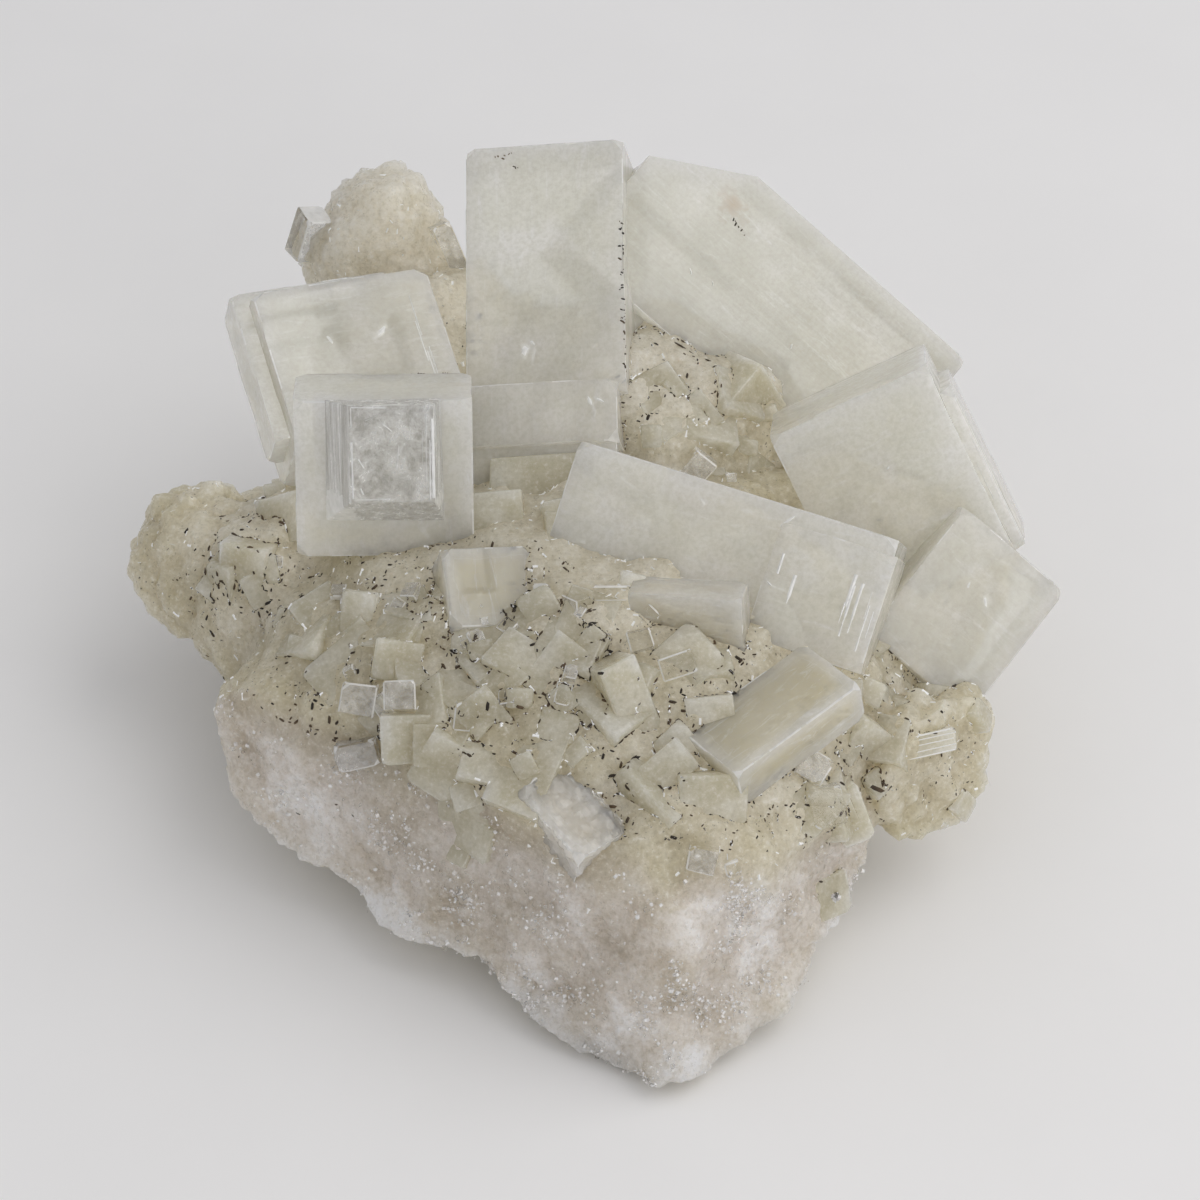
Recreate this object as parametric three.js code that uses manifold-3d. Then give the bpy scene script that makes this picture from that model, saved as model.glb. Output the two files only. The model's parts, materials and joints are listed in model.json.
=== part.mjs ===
// Apophyllite and prehnite cluster: blocky apophyllite crystals grown on a lumpy, pale green
// prehnite matrix with a broken, sugary front. Millimetres, +Z up. The specimen stands on the
// flat where its matrix was broken off, and that flat is the plane z = 0.

import * as THREE from 'three';
import { ConvexGeometry } from 'three/addons/geometries/ConvexGeometry.js';
import { mergeVertices } from 'three/addons/utils/BufferGeometryUtils.js';
import Module from 'manifold-3d';

const wasm = await Module();
wasm.setup();

// Driving dimensions

const GAP = 0.3; // clear fit between a crystal and what it grew against
const SMALL_SINK = 0.5; // share of a small crystal's depth that is sunk in the matrix
const CORNER_CUT = 0.9; // how far a plain corner facet reaches along the sides of a block
const CORNER_SHARE = 0.18; // and at most this share of the block's smallest side
const PYRAMID_STEEPNESS = 1.24; // rise of apophyllite's corner facet for one unit along a side
const ROUGHNESS = 0.45; // height of the prehnite's broad unevenness, whose waves are 11 to 13 long
const FINE_SHARE = 0.6; // height of its fine unevenness beside that, in waves about 5 long
const WELD = 1e-4; // corners closer than this are one corner

// The matrix, as overlapping lumps: centre, radii and how finely each is faceted.
const LUMPS = [
  { at: [-1, 2, 12], radii: [26, 24, 12.5], detail: 9 }, // main body
  { at: [0, 0, 5], radii: [20, 20, 7.5], detail: 3 }, // foot
  { at: [4, -13, 9], radii: [16, 14, 10.5], detail: 6 }, // front wedge
  { at: [3.5, -17, 4], radii: [12, 14.3, 9], detail: 6 }, // toe of the wedge
  { at: [-17, -6, 11], radii: [12, 12, 8.5], detail: 4 }, // left front shoulder
  { at: [-9, -11, 8.5], radii: [12.5, 13, 9], detail: 5 }, // between the two
  { at: [-30, 11.5, 13], radii: [6.5, 6.5, 5.5], detail: 3 }, // left lobe
  { at: [-23, 9, 12], radii: [9.5, 9, 8.5], detail: 3 }, // root of the left lobe
  { at: [-17.6, 33, 27.1], radii: [6, 5.5, 6], detail: 3 }, // knob at the back left
  { at: [-14, 26, 20], radii: [9, 9, 9], detail: 3 }, // root of the knob
  { at: [24.3, -8.2, 11], radii: [6.4, 6.2, 5.6], detail: 3 }, // right lobe
  { at: [19, 11, 12], radii: [12, 11.5, 10], detail: 4 }, // right shoulder
  { at: [2, 20, 15.5], radii: [15, 12, 12], detail: 5 }, // back shoulder
];

// The broken front: two faces that meet in an upright crease, each by the direction that it
// faces and its distance from the middle of the base along that direction.
const FRONT_BREAKS = [
  { facing: [-0.51, -0.82, 0.26], distance: 23.3 },
  { facing: [0.63, -0.73, 0.25], distance: 26.3 },
];
const BREAK_SOFTNESS = 1.2; // how far the rim of a break is rounded over
const GRAZING = 0.05; // a direction this nearly along a break never meets it
const BELOW_FLAT = [120, 120, 40]; // wider and deeper than any lump reaches below the flat
const ABOVE_ALL = 100; // higher than any crystal

// The large crystals, each as one or more growth blocks. A block is a square prism: `at` is
// its middle and `size` its width, depth and length. The length runs along the crystal's own
// axis, which leans from the vertical toward `heading` and is turned about itself by `spin`,
// in degrees. A block with an `offset` instead lies parallel to the first block, that far from
// it in the first block's frame. `corners` holds corners with a larger facet, by their signs
// and how far the facet reaches along each side. `flare` widens the back of a block past its
// front on the -X, +X, -Z and +Z sides.
const LARGE_CRYSTALS = [
  {
    name: 'tall_centre_crystal',
    blocks: [
      { at: [-3.6, 26, 28.8], heading: 91, lean: 59, spin: 81, size: [12.5, 9, 20.4] },
      { offset: [1.1, 1.5, -12], size: [13.5, 8, 5] },
    ],
  },
  {
    name: 'back_right_crystal',
    blocks: [
      {
        at: [12.4, 28, 24.1], heading: -26, lean: 123, spin: 116, size: [14.8, 9, 30],
        corners: [
          { corner: [1, 1, -1], reach: [4.8, Infinity, 7.9] },
          { corner: [1, -1, -1], reach: [4.8, Infinity, 7.9] },
        ],
      },
      { offset: [-1.4, -0.8, 1], size: [14.8, 7.4, 20] },
    ],
  },
  {
    name: 'right_upper_crystal',
    blocks: [
      { at: [22.4, 10.8, 22.2], heading: 10, lean: 65, spin: 147, size: [15.8, 9, 13] },
      { offset: [-1.5, -0.6, 0.9], size: [13.6, 8, 13] },
    ],
  },
  {
    name: 'right_lower_crystal',
    blocks: [
      { at: [26.6, 3, 16.1], heading: -21, lean: 126, spin: 127, size: [12, 9, 10.3] },
    ],
  },
  {
    name: 'long_front_right_crystal',
    blocks: [
      { at: [9.3, 1.9, 22.4], heading: -20, lean: 95, spin: 132, size: [10.2, 8, 25] },
      { offset: [-0.6, 0.5, 8.3], size: [9, 8, 9] },
    ],
  },
  {
    name: 'left_front_crystal',
    blocks: [
      { at: [-16.2, 8.1, 26.4], heading: 90, lean: 24, spin: 92, size: [13.3, 7, 12.2] },
      {
        at: [-15.2, 5.2, 31.2], heading: 91, lean: 27, spin: 90, size: [5.6, 6, 7.1],
        flare: [1.2, 3, 3, -2],
      },
    ],
  },
  {
    name: 'left_back_crystal',
    blocks: [
      { at: [-19, 17.7, 26.6], heading: -159, lean: 84, spin: 69, size: [13, 8, 14] },
      { offset: [-1.2, 0.2, 1.7], size: [13, 4, 13] },
    ],
  },
  {
    name: 'front_right_crystal',
    blocks: [
      { at: [12.6, -12.5, 19.8], heading: 39, lean: 82, spin: 84, size: [6.3, 3.5, 11.8] },
    ],
  },
  {
    name: 'slab_crystal',
    blocks: [
      { at: [6.6, -5, 23.4], heading: -12, lean: 83, spin: 169, size: [4.9, 2.6, 8.5] },
    ],
  },
  {
    name: 'rounded_crystal',
    blocks: [
      { at: [-8.6, -2.1, 21.7], heading: 99, lean: 70, spin: 101, size: [7.1, 6, 6.5] },
    ],
  },
  {
    name: 'front_corner_crystal',
    blocks: [
      { at: [-2.2, -19.2, 16.2], heading: -49, lean: 103, spin: 92, size: [4.7, 5, 7.1] },
    ],
  },
];

// Small crystals fused to the matrix, each from where it sits on the ground plan. Its face is
// `width` by `height` and looks toward `azimuth` (counterclockwise from +X) and up by
// `elevation`; `roll` turns it counterclockwise in its own plane, in degrees.
const SMALL_CRYSTALS = [
  // left front terrace
  { x: -17.5, y: -9.8, width: 2.6, height: 2.4, depth: 3, azimuth: -95, elevation: 40, roll: -5 },
  { x: -14.6, y: -10.4, width: 2.4, height: 2.3, depth: 3, azimuth: -85, elevation: 50, roll: 0 },
  { x: -14, y: -13.2, width: 3.9, height: 3.6, depth: 3, azimuth: -90, elevation: 35, roll: 3 },
  { x: -17.6, y: -12, width: 3.4, height: 2, depth: 2.5, azimuth: -100, elevation: 30, roll: 20 },
  { x: -18, y: -2.6, width: 2.5, height: 3.5, depth: 3, azimuth: -95, elevation: 45, roll: -3 },
  { x: -14.8, y: -7.8, width: 3.6, height: 3.1, depth: 3, azimuth: -80, elevation: 45, roll: -15 },
  { x: -9.7, y: -12.8, width: 1.6, height: 2.1, depth: 2, azimuth: -90, elevation: 40, roll: -5 },
  { x: -9.6, y: -16.6, width: 2.4, height: 2, depth: 2, azimuth: -100, elevation: 45, roll: 25 },
  { x: -25, y: 4.2, width: 1.1, height: 2.2, depth: 1.6, azimuth: -100, elevation: 50, roll: 20 },
  { x: -22.5, y: -3.5, width: 1.8, height: 1.6, depth: 1.6, azimuth: -120, elevation: 45, roll: 10 },
  // left lobe
  { x: -29.8, y: 4.9, width: 2, height: 1.8, depth: 1.5, azimuth: -110, elevation: 55, roll: -20 },
  { x: -25.2, y: 12.4, width: 1.8, height: 1.2, depth: 1.5, azimuth: -90, elevation: 50, roll: 10 },
  // middle of the bowl between the large crystals
  { x: -11, y: 1, width: 1.2, height: 1.6, depth: 2, azimuth: -90, elevation: 45, roll: 5 },
  { x: -4.4, y: -4.4, width: 2.8, height: 2.7, depth: 3, azimuth: -90, elevation: 60, roll: 30 },
  { x: 0.9, y: -3.6, width: 2.8, height: 1.1, depth: 2, azimuth: -90, elevation: 40, roll: 0 },
  { x: 2.4, y: -3, width: 2.1, height: 2.1, depth: 2.4, azimuth: -80, elevation: 50, roll: -20 },
  { x: 3.6, y: -5.2, width: 1.3, height: 1.3, depth: 2, azimuth: -90, elevation: 45, roll: 45 },
  { x: 5.6, y: -9.4, width: 2.7, height: 1.8, depth: 2, azimuth: -85, elevation: 45, roll: 15 },
  { x: 2.2, y: -12.5, width: 3, height: 7, depth: 3.4, azimuth: -65, elevation: 40, roll: 6 },
  { x: -0.7, y: -7.6, width: 1.6, height: 2.2, depth: 2, azimuth: -100, elevation: 45, roll: -30 },
  { x: 2.9, y: -7.6, width: 1.8, height: 1.6, depth: 2, azimuth: -90, elevation: 60, roll: 15 },
  { x: -2.7, y: -12.2, width: 1.8, height: 2, depth: 2, azimuth: -95, elevation: 50, roll: 40 },
  { x: -5.8, y: -12, width: 2, height: 1.5, depth: 2, azimuth: -80, elevation: 40, roll: -10 },
  { x: -8.6, y: -8, width: 2, height: 1.5, depth: 2, azimuth: -90, elevation: 55, roll: 15 },
  { x: -5.4, y: -16.5, width: 1.7, height: 1.9, depth: 2, azimuth: -100, elevation: 45, roll: 35 },
  // behind the long crystal
  { x: 7.4, y: 11.6, width: 2.1, height: 2.5, depth: 3, azimuth: -90, elevation: 30, roll: -40 },
  { x: 8.1, y: 15.4, width: 1.3, height: 3.2, depth: 1.6, azimuth: -90, elevation: 45, roll: 38 },
  { x: 13.2, y: 17.6, width: 1.4, height: 1.3, depth: 1.8, azimuth: -90, elevation: 50, roll: 20 },
  { x: 11.4, y: 14.4, width: 1.7, height: 1.3, depth: 1.8, azimuth: -80, elevation: 50, roll: -15 },
  { x: 4, y: 12.6, width: 1.6, height: 1.8, depth: 1.8, azimuth: -100, elevation: 45, roll: 10 },
  // front right terrace
  { x: 4.3, y: -17, width: 5.2, height: 2.7, depth: 3, azimuth: -80, elevation: 50, roll: 32 },
  { x: 8, y: -18.4, width: 5, height: 3.6, depth: 3.4, azimuth: -80, elevation: 35, roll: -6 },
  { x: 7.3, y: -22.2, width: 2.2, height: 2, depth: 2, azimuth: -90, elevation: 30, roll: -12 },
  { x: 9.4, y: -22.4, width: 1.2, height: 1.2, depth: 1.2, azimuth: -80, elevation: 30, roll: 10 },
  { x: 16.4, y: -16.4, width: 2.6, height: 3, depth: 2.4, azimuth: -85, elevation: 40, roll: 8 },
  { x: 15.5, y: -14.2, width: 2.3, height: 2.2, depth: 2.2, azimuth: -90, elevation: 55, roll: -30 },
  { x: 20, y: -7.4, width: 2, height: 2, depth: 2, azimuth: -80, elevation: 45, roll: -30 },
  { x: 20.4, y: -12.4, width: 1.6, height: 2, depth: 1.8, azimuth: -60, elevation: 40, roll: 20 },
  // right lobe
  { x: 24.2, y: -10, width: 4.4, height: 1.8, depth: 2, azimuth: -80, elevation: 40, roll: 5 },
  { x: 28.4, y: -6.4, width: 1.8, height: 2.4, depth: 2, azimuth: -20, elevation: 30, roll: 10 },
  { x: 27.4, y: -9.6, width: 2, height: 2, depth: 2, azimuth: -40, elevation: 20, roll: 25 },
  // knob and back
  { x: -23.1, y: 31.6, width: 2.3, height: 4, depth: 2.4, azimuth: -150, elevation: 20, roll: 0 },
  { x: -12.2, y: 30.6, width: 1.7, height: 4.4, depth: 2, azimuth: -60, elevation: 30, roll: 8 },
  { x: -18.5, y: 37, width: 2.2, height: 2, depth: 2, azimuth: 100, elevation: 20, roll: 20 },
  { x: -6, y: 28, width: 2.6, height: 3.2, depth: 2.6, azimuth: 100, elevation: 40, roll: -15 },
  { x: -24, y: 16.5, width: 2.4, height: 2, depth: 2, azimuth: 150, elevation: 45, roll: 30 },
  { x: 28, y: 13.5, width: 2.4, height: 3, depth: 2.4, azimuth: 40, elevation: 35, roll: 10 },
];

// Solids and placement

function solidFrom(geometry, placement = new THREE.Matrix4()) {
  const bare = new THREE.BufferGeometry();
  bare.setAttribute('position', geometry.getAttribute('position').clone());
  if (geometry.index) bare.setIndex(geometry.index.clone());
  bare.applyMatrix4(placement);
  const merged = mergeVertices(bare, WELD);
  const vertProperties = new Float32Array(merged.getAttribute('position').array);
  const triVerts = new Uint32Array(merged.index.array);
  return new wasm.Manifold(new wasm.Mesh({ numProp: 3, vertProperties, triVerts }));
}

function geometryFrom(solid) {
  const { vertProperties, triVerts } = solid.getMesh();
  const geometry = new THREE.BufferGeometry();
  geometry.setAttribute('position', new THREE.BufferAttribute(vertProperties, 3));
  geometry.setIndex(new THREE.BufferAttribute(triVerts, 1));
  return geometry;
}

// What is left of a solid after its neighbours are cut away, without loose slivers.
function largestPiece(solid) {
  return solid.decompose().reduce((best, piece) => (piece.volume() > best.volume() ? piece : best));
}

function placementOf({ at, heading, lean, spin }) {
  const turn = (axis, degrees) =>
    new THREE.Matrix4().makeRotationAxis(axis, THREE.MathUtils.degToRad(degrees));
  return new THREE.Matrix4()
    .makeTranslation(...at)
    .multiply(turn(new THREE.Vector3(0, 0, 1), heading))
    .multiply(turn(new THREE.Vector3(0, 1, 0), lean))
    .multiply(turn(new THREE.Vector3(0, 0, 1), spin));
}

// One growth block of apophyllite: a square prism whose corners are cut by pyramid facets.
function growthBlock({ size, corners = [], flare = [0, 0, 0, 0], margin = 0 }) {
  const half = size.map((side) => side / 2 + margin);
  const points = [];
  for (const x of [-1, 1]) {
    for (const y of [-1, 1]) {
      for (const z of [-1, 1]) {
        const signs = [x, y, z];
        const tip = signs.map((sign, axis) => sign * half[axis]);
        if (y < 0) {
          tip[0] += x * (x < 0 ? flare[0] : flare[1]);
          tip[2] += z * (z < 0 ? flare[2] : flare[3]);
        }
        const larger = corners.find(({ corner }) => corner.every((sign, axis) => sign === signs[axis]));
        const reach = larger ? larger.reach : plainReach(size);
        for (const axis of [0, 1, 2]) {
          if (reach[axis] === Infinity) continue;
          const point = [...tip];
          point[axis] -= signs[axis] * reach[axis];
          points.push(new THREE.Vector3(...point));
        }
      }
    }
  }
  return new ConvexGeometry(points);
}

function plainReach(size) {
  const side = Math.min(CORNER_CUT, Math.min(...size) * CORNER_SHARE);
  return [side, side, side * PYRAMID_STEEPNESS];
}

function blockPlacement(crystal, block) {
  if (block.at) return placementOf(block);
  return placementOf(crystal.blocks[0]).multiply(new THREE.Matrix4().makeTranslation(...block.offset));
}

// The whole crystal, in the frame that `into` leads to from the cluster's.
function crystalSolid(crystal, { margin = 0, into = new THREE.Matrix4() } = {}) {
  const solids = crystal.blocks.map((block) =>
    solidFrom(growthBlock({ ...block, margin }), into.clone().multiply(blockPlacement(crystal, block))));
  return solids.reduce((whole, solid) => whole.add(solid));
}

// The matrix

function unevenness({ x, y, z }) {
  const broad = Math.sin(0.55 * x + 1.3) * Math.sin(0.5 * y + 0.4 * z + 0.7);
  const fine = Math.sin(1.25 * x + 0.6 * z) * Math.sin(1.1 * y - 0.8 * z + 2.1);
  return ROUGHNESS * (broad + FINE_SHARE * fine);
}

// The smaller of two lengths, rounded over where they are nearly equal.
function softMin(a, b, softness) {
  const blend = Math.max(softness - Math.abs(a - b), 0) / softness;
  return Math.min(a, b) - (blend * blend * softness) / 4;
}

// How far a lump reaches along `direction` from its centre before a front break stops it.
function reachOf(centre, direction, radius) {
  return FRONT_BREAKS.reduce((reach, { facing, distance }) => {
    const face = new THREE.Vector3(...facing).normalize();
    const rate = face.dot(direction);
    if (rate < GRAZING) return reach;
    return softMin(reach, (distance - face.dot(centre)) / rate, BREAK_SOFTNESS);
  }, radius);
}

function lumpGeometry({ at, radii, detail }) {
  const geometry = new THREE.IcosahedronGeometry(1, detail);
  const positions = geometry.getAttribute('position');
  const centre = new THREE.Vector3(...at);
  const spread = new THREE.Vector3(...radii);
  for (let i = 0; i < positions.count; i += 1) {
    const arm = new THREE.Vector3().fromBufferAttribute(positions, i).multiply(spread);
    const radius = arm.length();
    const direction = arm.divideScalar(radius);
    const reach = reachOf(centre, direction, radius);
    const point = direction.clone().multiplyScalar(reach).add(centre);
    point.addScaledVector(direction, unevenness(point));
    positions.setXYZ(i, point.x, point.y, point.z);
  }
  return geometry;
}

function matrixBody() {
  const lumps = LUMPS.map((lump) => solidFrom(lumpGeometry(lump)));
  const whole = lumps.reduce((sum, lump) => sum.add(lump));
  const below = new THREE.BoxGeometry(...BELOW_FLAT).translate(0, 0, -BELOW_FLAT[2] / 2);
  return whole.subtract(solidFrom(below));
}

// A small crystal, its face set out from the point of `surface` above its place on the plan.
function smallCrystalSolid({ x, y, width, height, depth, azimuth, elevation, roll }, surface) {
  const down = new THREE.Vector3(0, 0, -1);
  const eye = new THREE.Vector3(x, y, ABOVE_ALL);
  const [seat] = new THREE.Raycaster(eye, down).intersectObject(surface);
  const compass = THREE.MathUtils.degToRad(azimuth);
  const rise = THREE.MathUtils.degToRad(elevation);
  const level = new THREE.Vector3(Math.cos(compass), Math.sin(compass), 0);
  const facing = level.clone().multiplyScalar(Math.cos(rise)).setZ(Math.sin(rise));
  const up = level.clone().multiplyScalar(-Math.sin(rise)).setZ(Math.cos(rise));
  up.applyAxisAngle(facing, THREE.MathUtils.degToRad(roll));
  const side = facing.clone().cross(up);
  const centre = seat.point.clone().addScaledVector(facing, depth * (0.5 - SMALL_SINK));
  const placement = new THREE.Matrix4().makeBasis(side, facing, up).setPosition(centre);
  return solidFrom(new THREE.BoxGeometry(width, depth, height), placement);
}

// Assembly

const apophyllite = new THREE.MeshStandardMaterial({ color: 0xd6d6ce, roughness: 0.18, metalness: 0 });
const prehnite = new THREE.MeshStandardMaterial({ color: 0xb9b8a2, roughness: 0.5, metalness: 0 });

function buildCluster() {
  const cluster = new THREE.Group();
  const body = matrixBody();
  const surface = new THREE.Mesh(geometryFrom(body));
  let matrix = SMALL_CRYSTALS.reduce((sum, small) => sum.add(smallCrystalSolid(small, surface)), body);
  const placed = [];
  for (const crystal of LARGE_CRYSTALS) {
    const placement = placementOf(crystal.blocks[0]);
    const into = placement.clone().invert();
    let solid = crystalSolid(crystal, { into });
    for (const earlier of placed) {
      solid = solid.subtract(crystalSolid(earlier, { margin: GAP, into }));
    }
    const mesh = new THREE.Mesh(geometryFrom(largestPiece(solid)), apophyllite);
    mesh.name = crystal.name;
    mesh.applyMatrix4(placement);
    cluster.add(mesh);
    matrix = matrix.subtract(crystalSolid(crystal, { margin: GAP }));
    placed.push(crystal);
  }
  const matrixMesh = new THREE.Mesh(geometryFrom(largestPiece(matrix)), prehnite);
  matrixMesh.name = 'prehnite_matrix';
  cluster.add(matrixMesh);
  const middle = new THREE.Box3().setFromObject(cluster, true).getCenter(new THREE.Vector3());
  cluster.position.set(-middle.x, -middle.y, 0);
  return cluster;
}

export default buildCluster();
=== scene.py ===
# Apophyllite and prehnite cluster: milky and clear apophyllite blocks on a lumpy, pale green
# prehnite matrix with a sugary broken front. Lengths in this script are millimetres in the
# cluster's own design frame, and each finished mesh is then brought to the row frame, in metres.

import itertools
import json
import math

import bmesh
import bpy
import numpy as np
from mathutils import Matrix, Vector
from mathutils.bvhtree import BVHTree
from mathutils.kdtree import KDTree

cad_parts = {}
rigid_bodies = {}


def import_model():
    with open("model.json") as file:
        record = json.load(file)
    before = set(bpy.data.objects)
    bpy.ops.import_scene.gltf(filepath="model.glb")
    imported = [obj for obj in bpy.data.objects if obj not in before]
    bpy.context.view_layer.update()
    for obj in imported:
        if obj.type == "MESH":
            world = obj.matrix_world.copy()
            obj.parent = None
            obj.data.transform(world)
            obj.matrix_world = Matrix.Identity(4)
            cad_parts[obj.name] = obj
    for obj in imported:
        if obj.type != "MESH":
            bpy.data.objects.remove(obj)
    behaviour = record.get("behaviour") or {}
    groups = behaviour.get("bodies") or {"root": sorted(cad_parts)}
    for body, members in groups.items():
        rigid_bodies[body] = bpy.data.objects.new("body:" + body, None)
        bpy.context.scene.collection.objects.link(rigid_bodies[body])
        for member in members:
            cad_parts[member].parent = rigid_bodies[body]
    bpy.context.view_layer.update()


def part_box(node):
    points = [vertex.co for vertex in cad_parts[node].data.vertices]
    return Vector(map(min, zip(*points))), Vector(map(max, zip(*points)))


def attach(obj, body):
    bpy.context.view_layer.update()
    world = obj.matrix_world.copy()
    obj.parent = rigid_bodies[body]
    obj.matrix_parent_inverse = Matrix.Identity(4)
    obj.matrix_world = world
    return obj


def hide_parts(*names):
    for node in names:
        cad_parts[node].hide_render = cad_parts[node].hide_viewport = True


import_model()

# ---------------------------------------------------------------- measures

MM = 0.001
# The rounded crystal is uncut, so its box's middle is its own middle in the design frame.
ROUNDED_AT = Vector((-8.6, -2.1, 21.7))
low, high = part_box("rounded_crystal")
SHIFT = (low + high) / (2 * MM) - ROUNDED_AT
TO_ROW = Matrix.Scale(MM, 4) @ Matrix.Translation(SHIFT)

ABOVE_ALL = 100  # a height over anything on the cluster
VOXEL = 0.435  # grid on which the lumps are fused
# Worn edges are frosted white, which also paints highlights along them.
WORN_ABOVE = -0.05  # an edge is frosted where its unevenness is over this
CONTACT = 0.3  # the crust counts as touching a crystal within this
BROKEN_ABOVE = 0.4  # the matrix counts as broken where its share of the break is over this
SMALL_SINK = 0.76  # share of a small milky crystal's depth that is sunk in the matrix
CLEAR_SINK = 0.5  # and of a small clear one's
# Degrees between two faces over which the edge between them is hard.
CRYSTAL_EDGES = 24
SMALL_CRYSTAL_EDGES = 15
MATRIX_EDGES = 35
CORNER_CUT = 0.9  # reach of a plain corner facet along a block's sides
CORNER_SHARE = 0.18  # and at most this share of the block's smallest side
PYRAMID_STEEPNESS = 1.24  # the same facet's reach along the axis, for each 1 across it
ROUGHNESS = 0.45  # height of the broad swells on the lumps
FINE_SHARE = 0.6  # height of the finer swells as a share of that

LUMPS = [  # middle, radii
    ((-1, 2, 12), (26, 24, 12.5)),  # main body
    ((0, 0, 5), (20, 20, 7.5)),  # foot
    ((4, -13, 9), (16, 14, 10.5)),  # front wedge
    ((3.5, -17, 4), (12, 14.3, 9)),  # toe of the wedge
    ((-17, -6, 11), (12, 12, 8.5)),  # left front shoulder
    ((-9, -11, 8.5), (12.5, 13, 9)),  # between the two
    ((-30, 11.5, 13), (6.5, 6.5, 5.5)),  # left lobe
    ((-23, 9, 12), (9.5, 9, 8.5)),  # root of the left lobe
    ((-17.6, 33, 27.1), (6, 5.5, 6)),  # knob at the back left
    ((-14, 26, 20), (9, 9, 9)),  # root of the knob
    ((24.3, -8.2, 11), (6.4, 6.2, 5.6)),  # right lobe
    ((19, 11, 12), (12, 11.5, 10)),  # right shoulder
    ((2, 20, 15.5), (15, 12, 12)),  # back shoulder
]
# The two faces of the fresh break at the front: outward direction and distance from the origin.
FRONT_BREAKS = [((-0.51, -0.82, 0.26), 23.3), ((0.63, -0.73, 0.25), 26.3)]
BREAK_SOFTNESS = 1.2  # a lump is rounded over this much where the break cuts it
GRAZING = 0.05  # and isn't cut where it runs flatter to the break than this
UNDERCUT = 2.1  # how far the rim of the foot stands clear of the floor
UNDERCUT_TOP = 6.5  # and the height up to which the sides move with it
LOBES = [((-30, 11.5, 13), 9), ((25.5, -8.2, 11), 9.5)]  # middle and reach of the grown lobes
# Where the crust stands up in a serrated edge: middle and reach.
SERRATED = [((-30, 11.5, 13), 9), ((-17.6, 33, 27.1), 8.5), ((24.3, -8.2, 11), 8), ((5, -30, 6), 12)]

# ---------------------------------------------------------------- camera, lights and floor

LOOK_AT = SHIFT + Vector((0, 0, 20))
LIT_AT = (0, 0, 12)  # the middle of the cluster, which the lights face
VIEW_DISTANCE = 260
VIEW_RISE = math.radians(45)
PICTURE_WIDTH = 90  # at the cluster
SENSOR = 36
FLOOR_HALF = 1500  # half the side of the background paper

scene = bpy.context.scene
scene.view_settings.view_transform = "Standard"


def aimed(thing, at_mm, toward_mm, name):
    """Stands a camera or light at one point, looking at another, both in the row frame."""
    holder = bpy.data.objects.new(name, thing)
    scene.collection.objects.link(holder)
    holder.location = Vector(at_mm) * MM
    look = Vector(toward_mm) - Vector(at_mm)
    holder.rotation_euler = look.to_track_quat("-Z", "Y").to_euler()
    return holder


def softbox(name, at_mm, size_mm, watts, colour):
    """A square diffusing panel that faces the cluster."""
    panel = bpy.data.lights.new(name, "AREA")
    panel.shape = "SQUARE"
    panel.size = size_mm * MM
    panel.energy = watts
    panel.color = colour
    return aimed(panel, at_mm, LIT_AT, name)


eye = LOOK_AT + VIEW_DISTANCE * Vector((0, -math.cos(VIEW_RISE), math.sin(VIEW_RISE)))
camera_data = bpy.data.cameras.new("camera")
camera_data.sensor_width = SENSOR
camera_data.lens = SENSOR * VIEW_DISTANCE / PICTURE_WIDTH
camera_data.clip_start = 0.01
camera_data.clip_end = 20
scene.camera = aimed(camera_data, eye, LOOK_AT, "camera")

softbox("window_softbox", (420, 40, 540), 600, 1.53, (1.0, 0.985, 0.965))
softbox("low_right_softbox", (150, -270, 170), 200, 0.17, (1.0, 0.98, 0.97))

world = bpy.data.worlds.new("studio_room")
scene.world = world
world.use_nodes = True
room_light = world.node_tree.nodes["Background"].inputs
room_light["Color"].default_value = (0.965, 0.97, 1.0, 1)
room_light["Strength"].default_value = 0.55

# ---------------------------------------------------------------- materials

# Patterns are scaled by how many of their swells go to a millimetre: as they stand where a
# texture is laid out by growth_mm, and over MM where it is laid out in metres.

APOPHYLLITE_IOR = 1.535
PREHNITE_IOR = 1.63
MIX_A, MIX_B = 6, 7  # the Mix node's two colours, which share their names with other sockets


def srgb(code):
    """A colour such as "D8D9D2" as linear red, green, blue and alpha."""
    parts = [int(code[i : i + 2], 16) / 255 for i in (0, 2, 4)]
    line = [p / 12.92 if p <= 0.04045 else ((p + 0.055) / 1.055) ** 2.4 for p in parts]
    return (*line, 1.0)


def add(tree, kind, inputs=None, ramp=None, **settings):
    """Adds a node. Its settings are its properties. Its inputs are values, hex colours, or the
    sockets or nodes they are linked from, a node by the first output that it has in use."""
    made = tree.nodes.new("ShaderNode" + kind)
    for key, value in settings.items():
        setattr(made, key, value)
    for socket, value in (inputs or {}).items():
        if isinstance(value, bpy.types.Node):
            value = next(output for output in value.outputs if output.enabled)
        if isinstance(value, bpy.types.NodeSocket):
            tree.links.new(value, made.inputs[socket])
        else:
            made.inputs[socket].default_value = srgb(value) if isinstance(value, str) else value
    if ramp:
        stops = made.color_ramp.elements
        while len(stops) < len(ramp):
            stops.new(0.5)
        for stop, (place, colour) in zip(stops, ramp):
            stop.position = place
            stop.color = srgb(colour) if isinstance(colour, str) else (colour, colour, colour, 1)
    return made


def new_material(name):
    """An empty material and its tree."""
    material = bpy.data.materials.new(name)
    material.use_nodes = True
    material.node_tree.nodes.clear()
    return material, material.node_tree


# Tones of milky apophyllite: its greyer, middle and whiter clouds.
PALE = ("E0DFD5", "E5E4DB", "EEEDE7")
# BRIGHT is a whiter copy of the same tones, painted light for crystals that stand more in shade.
BRIGHT = ("EDECE3", "F0EFE7", "F6F5F1")
GREENISH = ("DAD3BF", "E0DAC9", "E8E4D7")
LILAC = ("D5CEC2", "DDD7CD", "E8E4DD")
MOSSY = ("CBC5AF", "D3CDB9", "DDD8C8")
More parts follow.
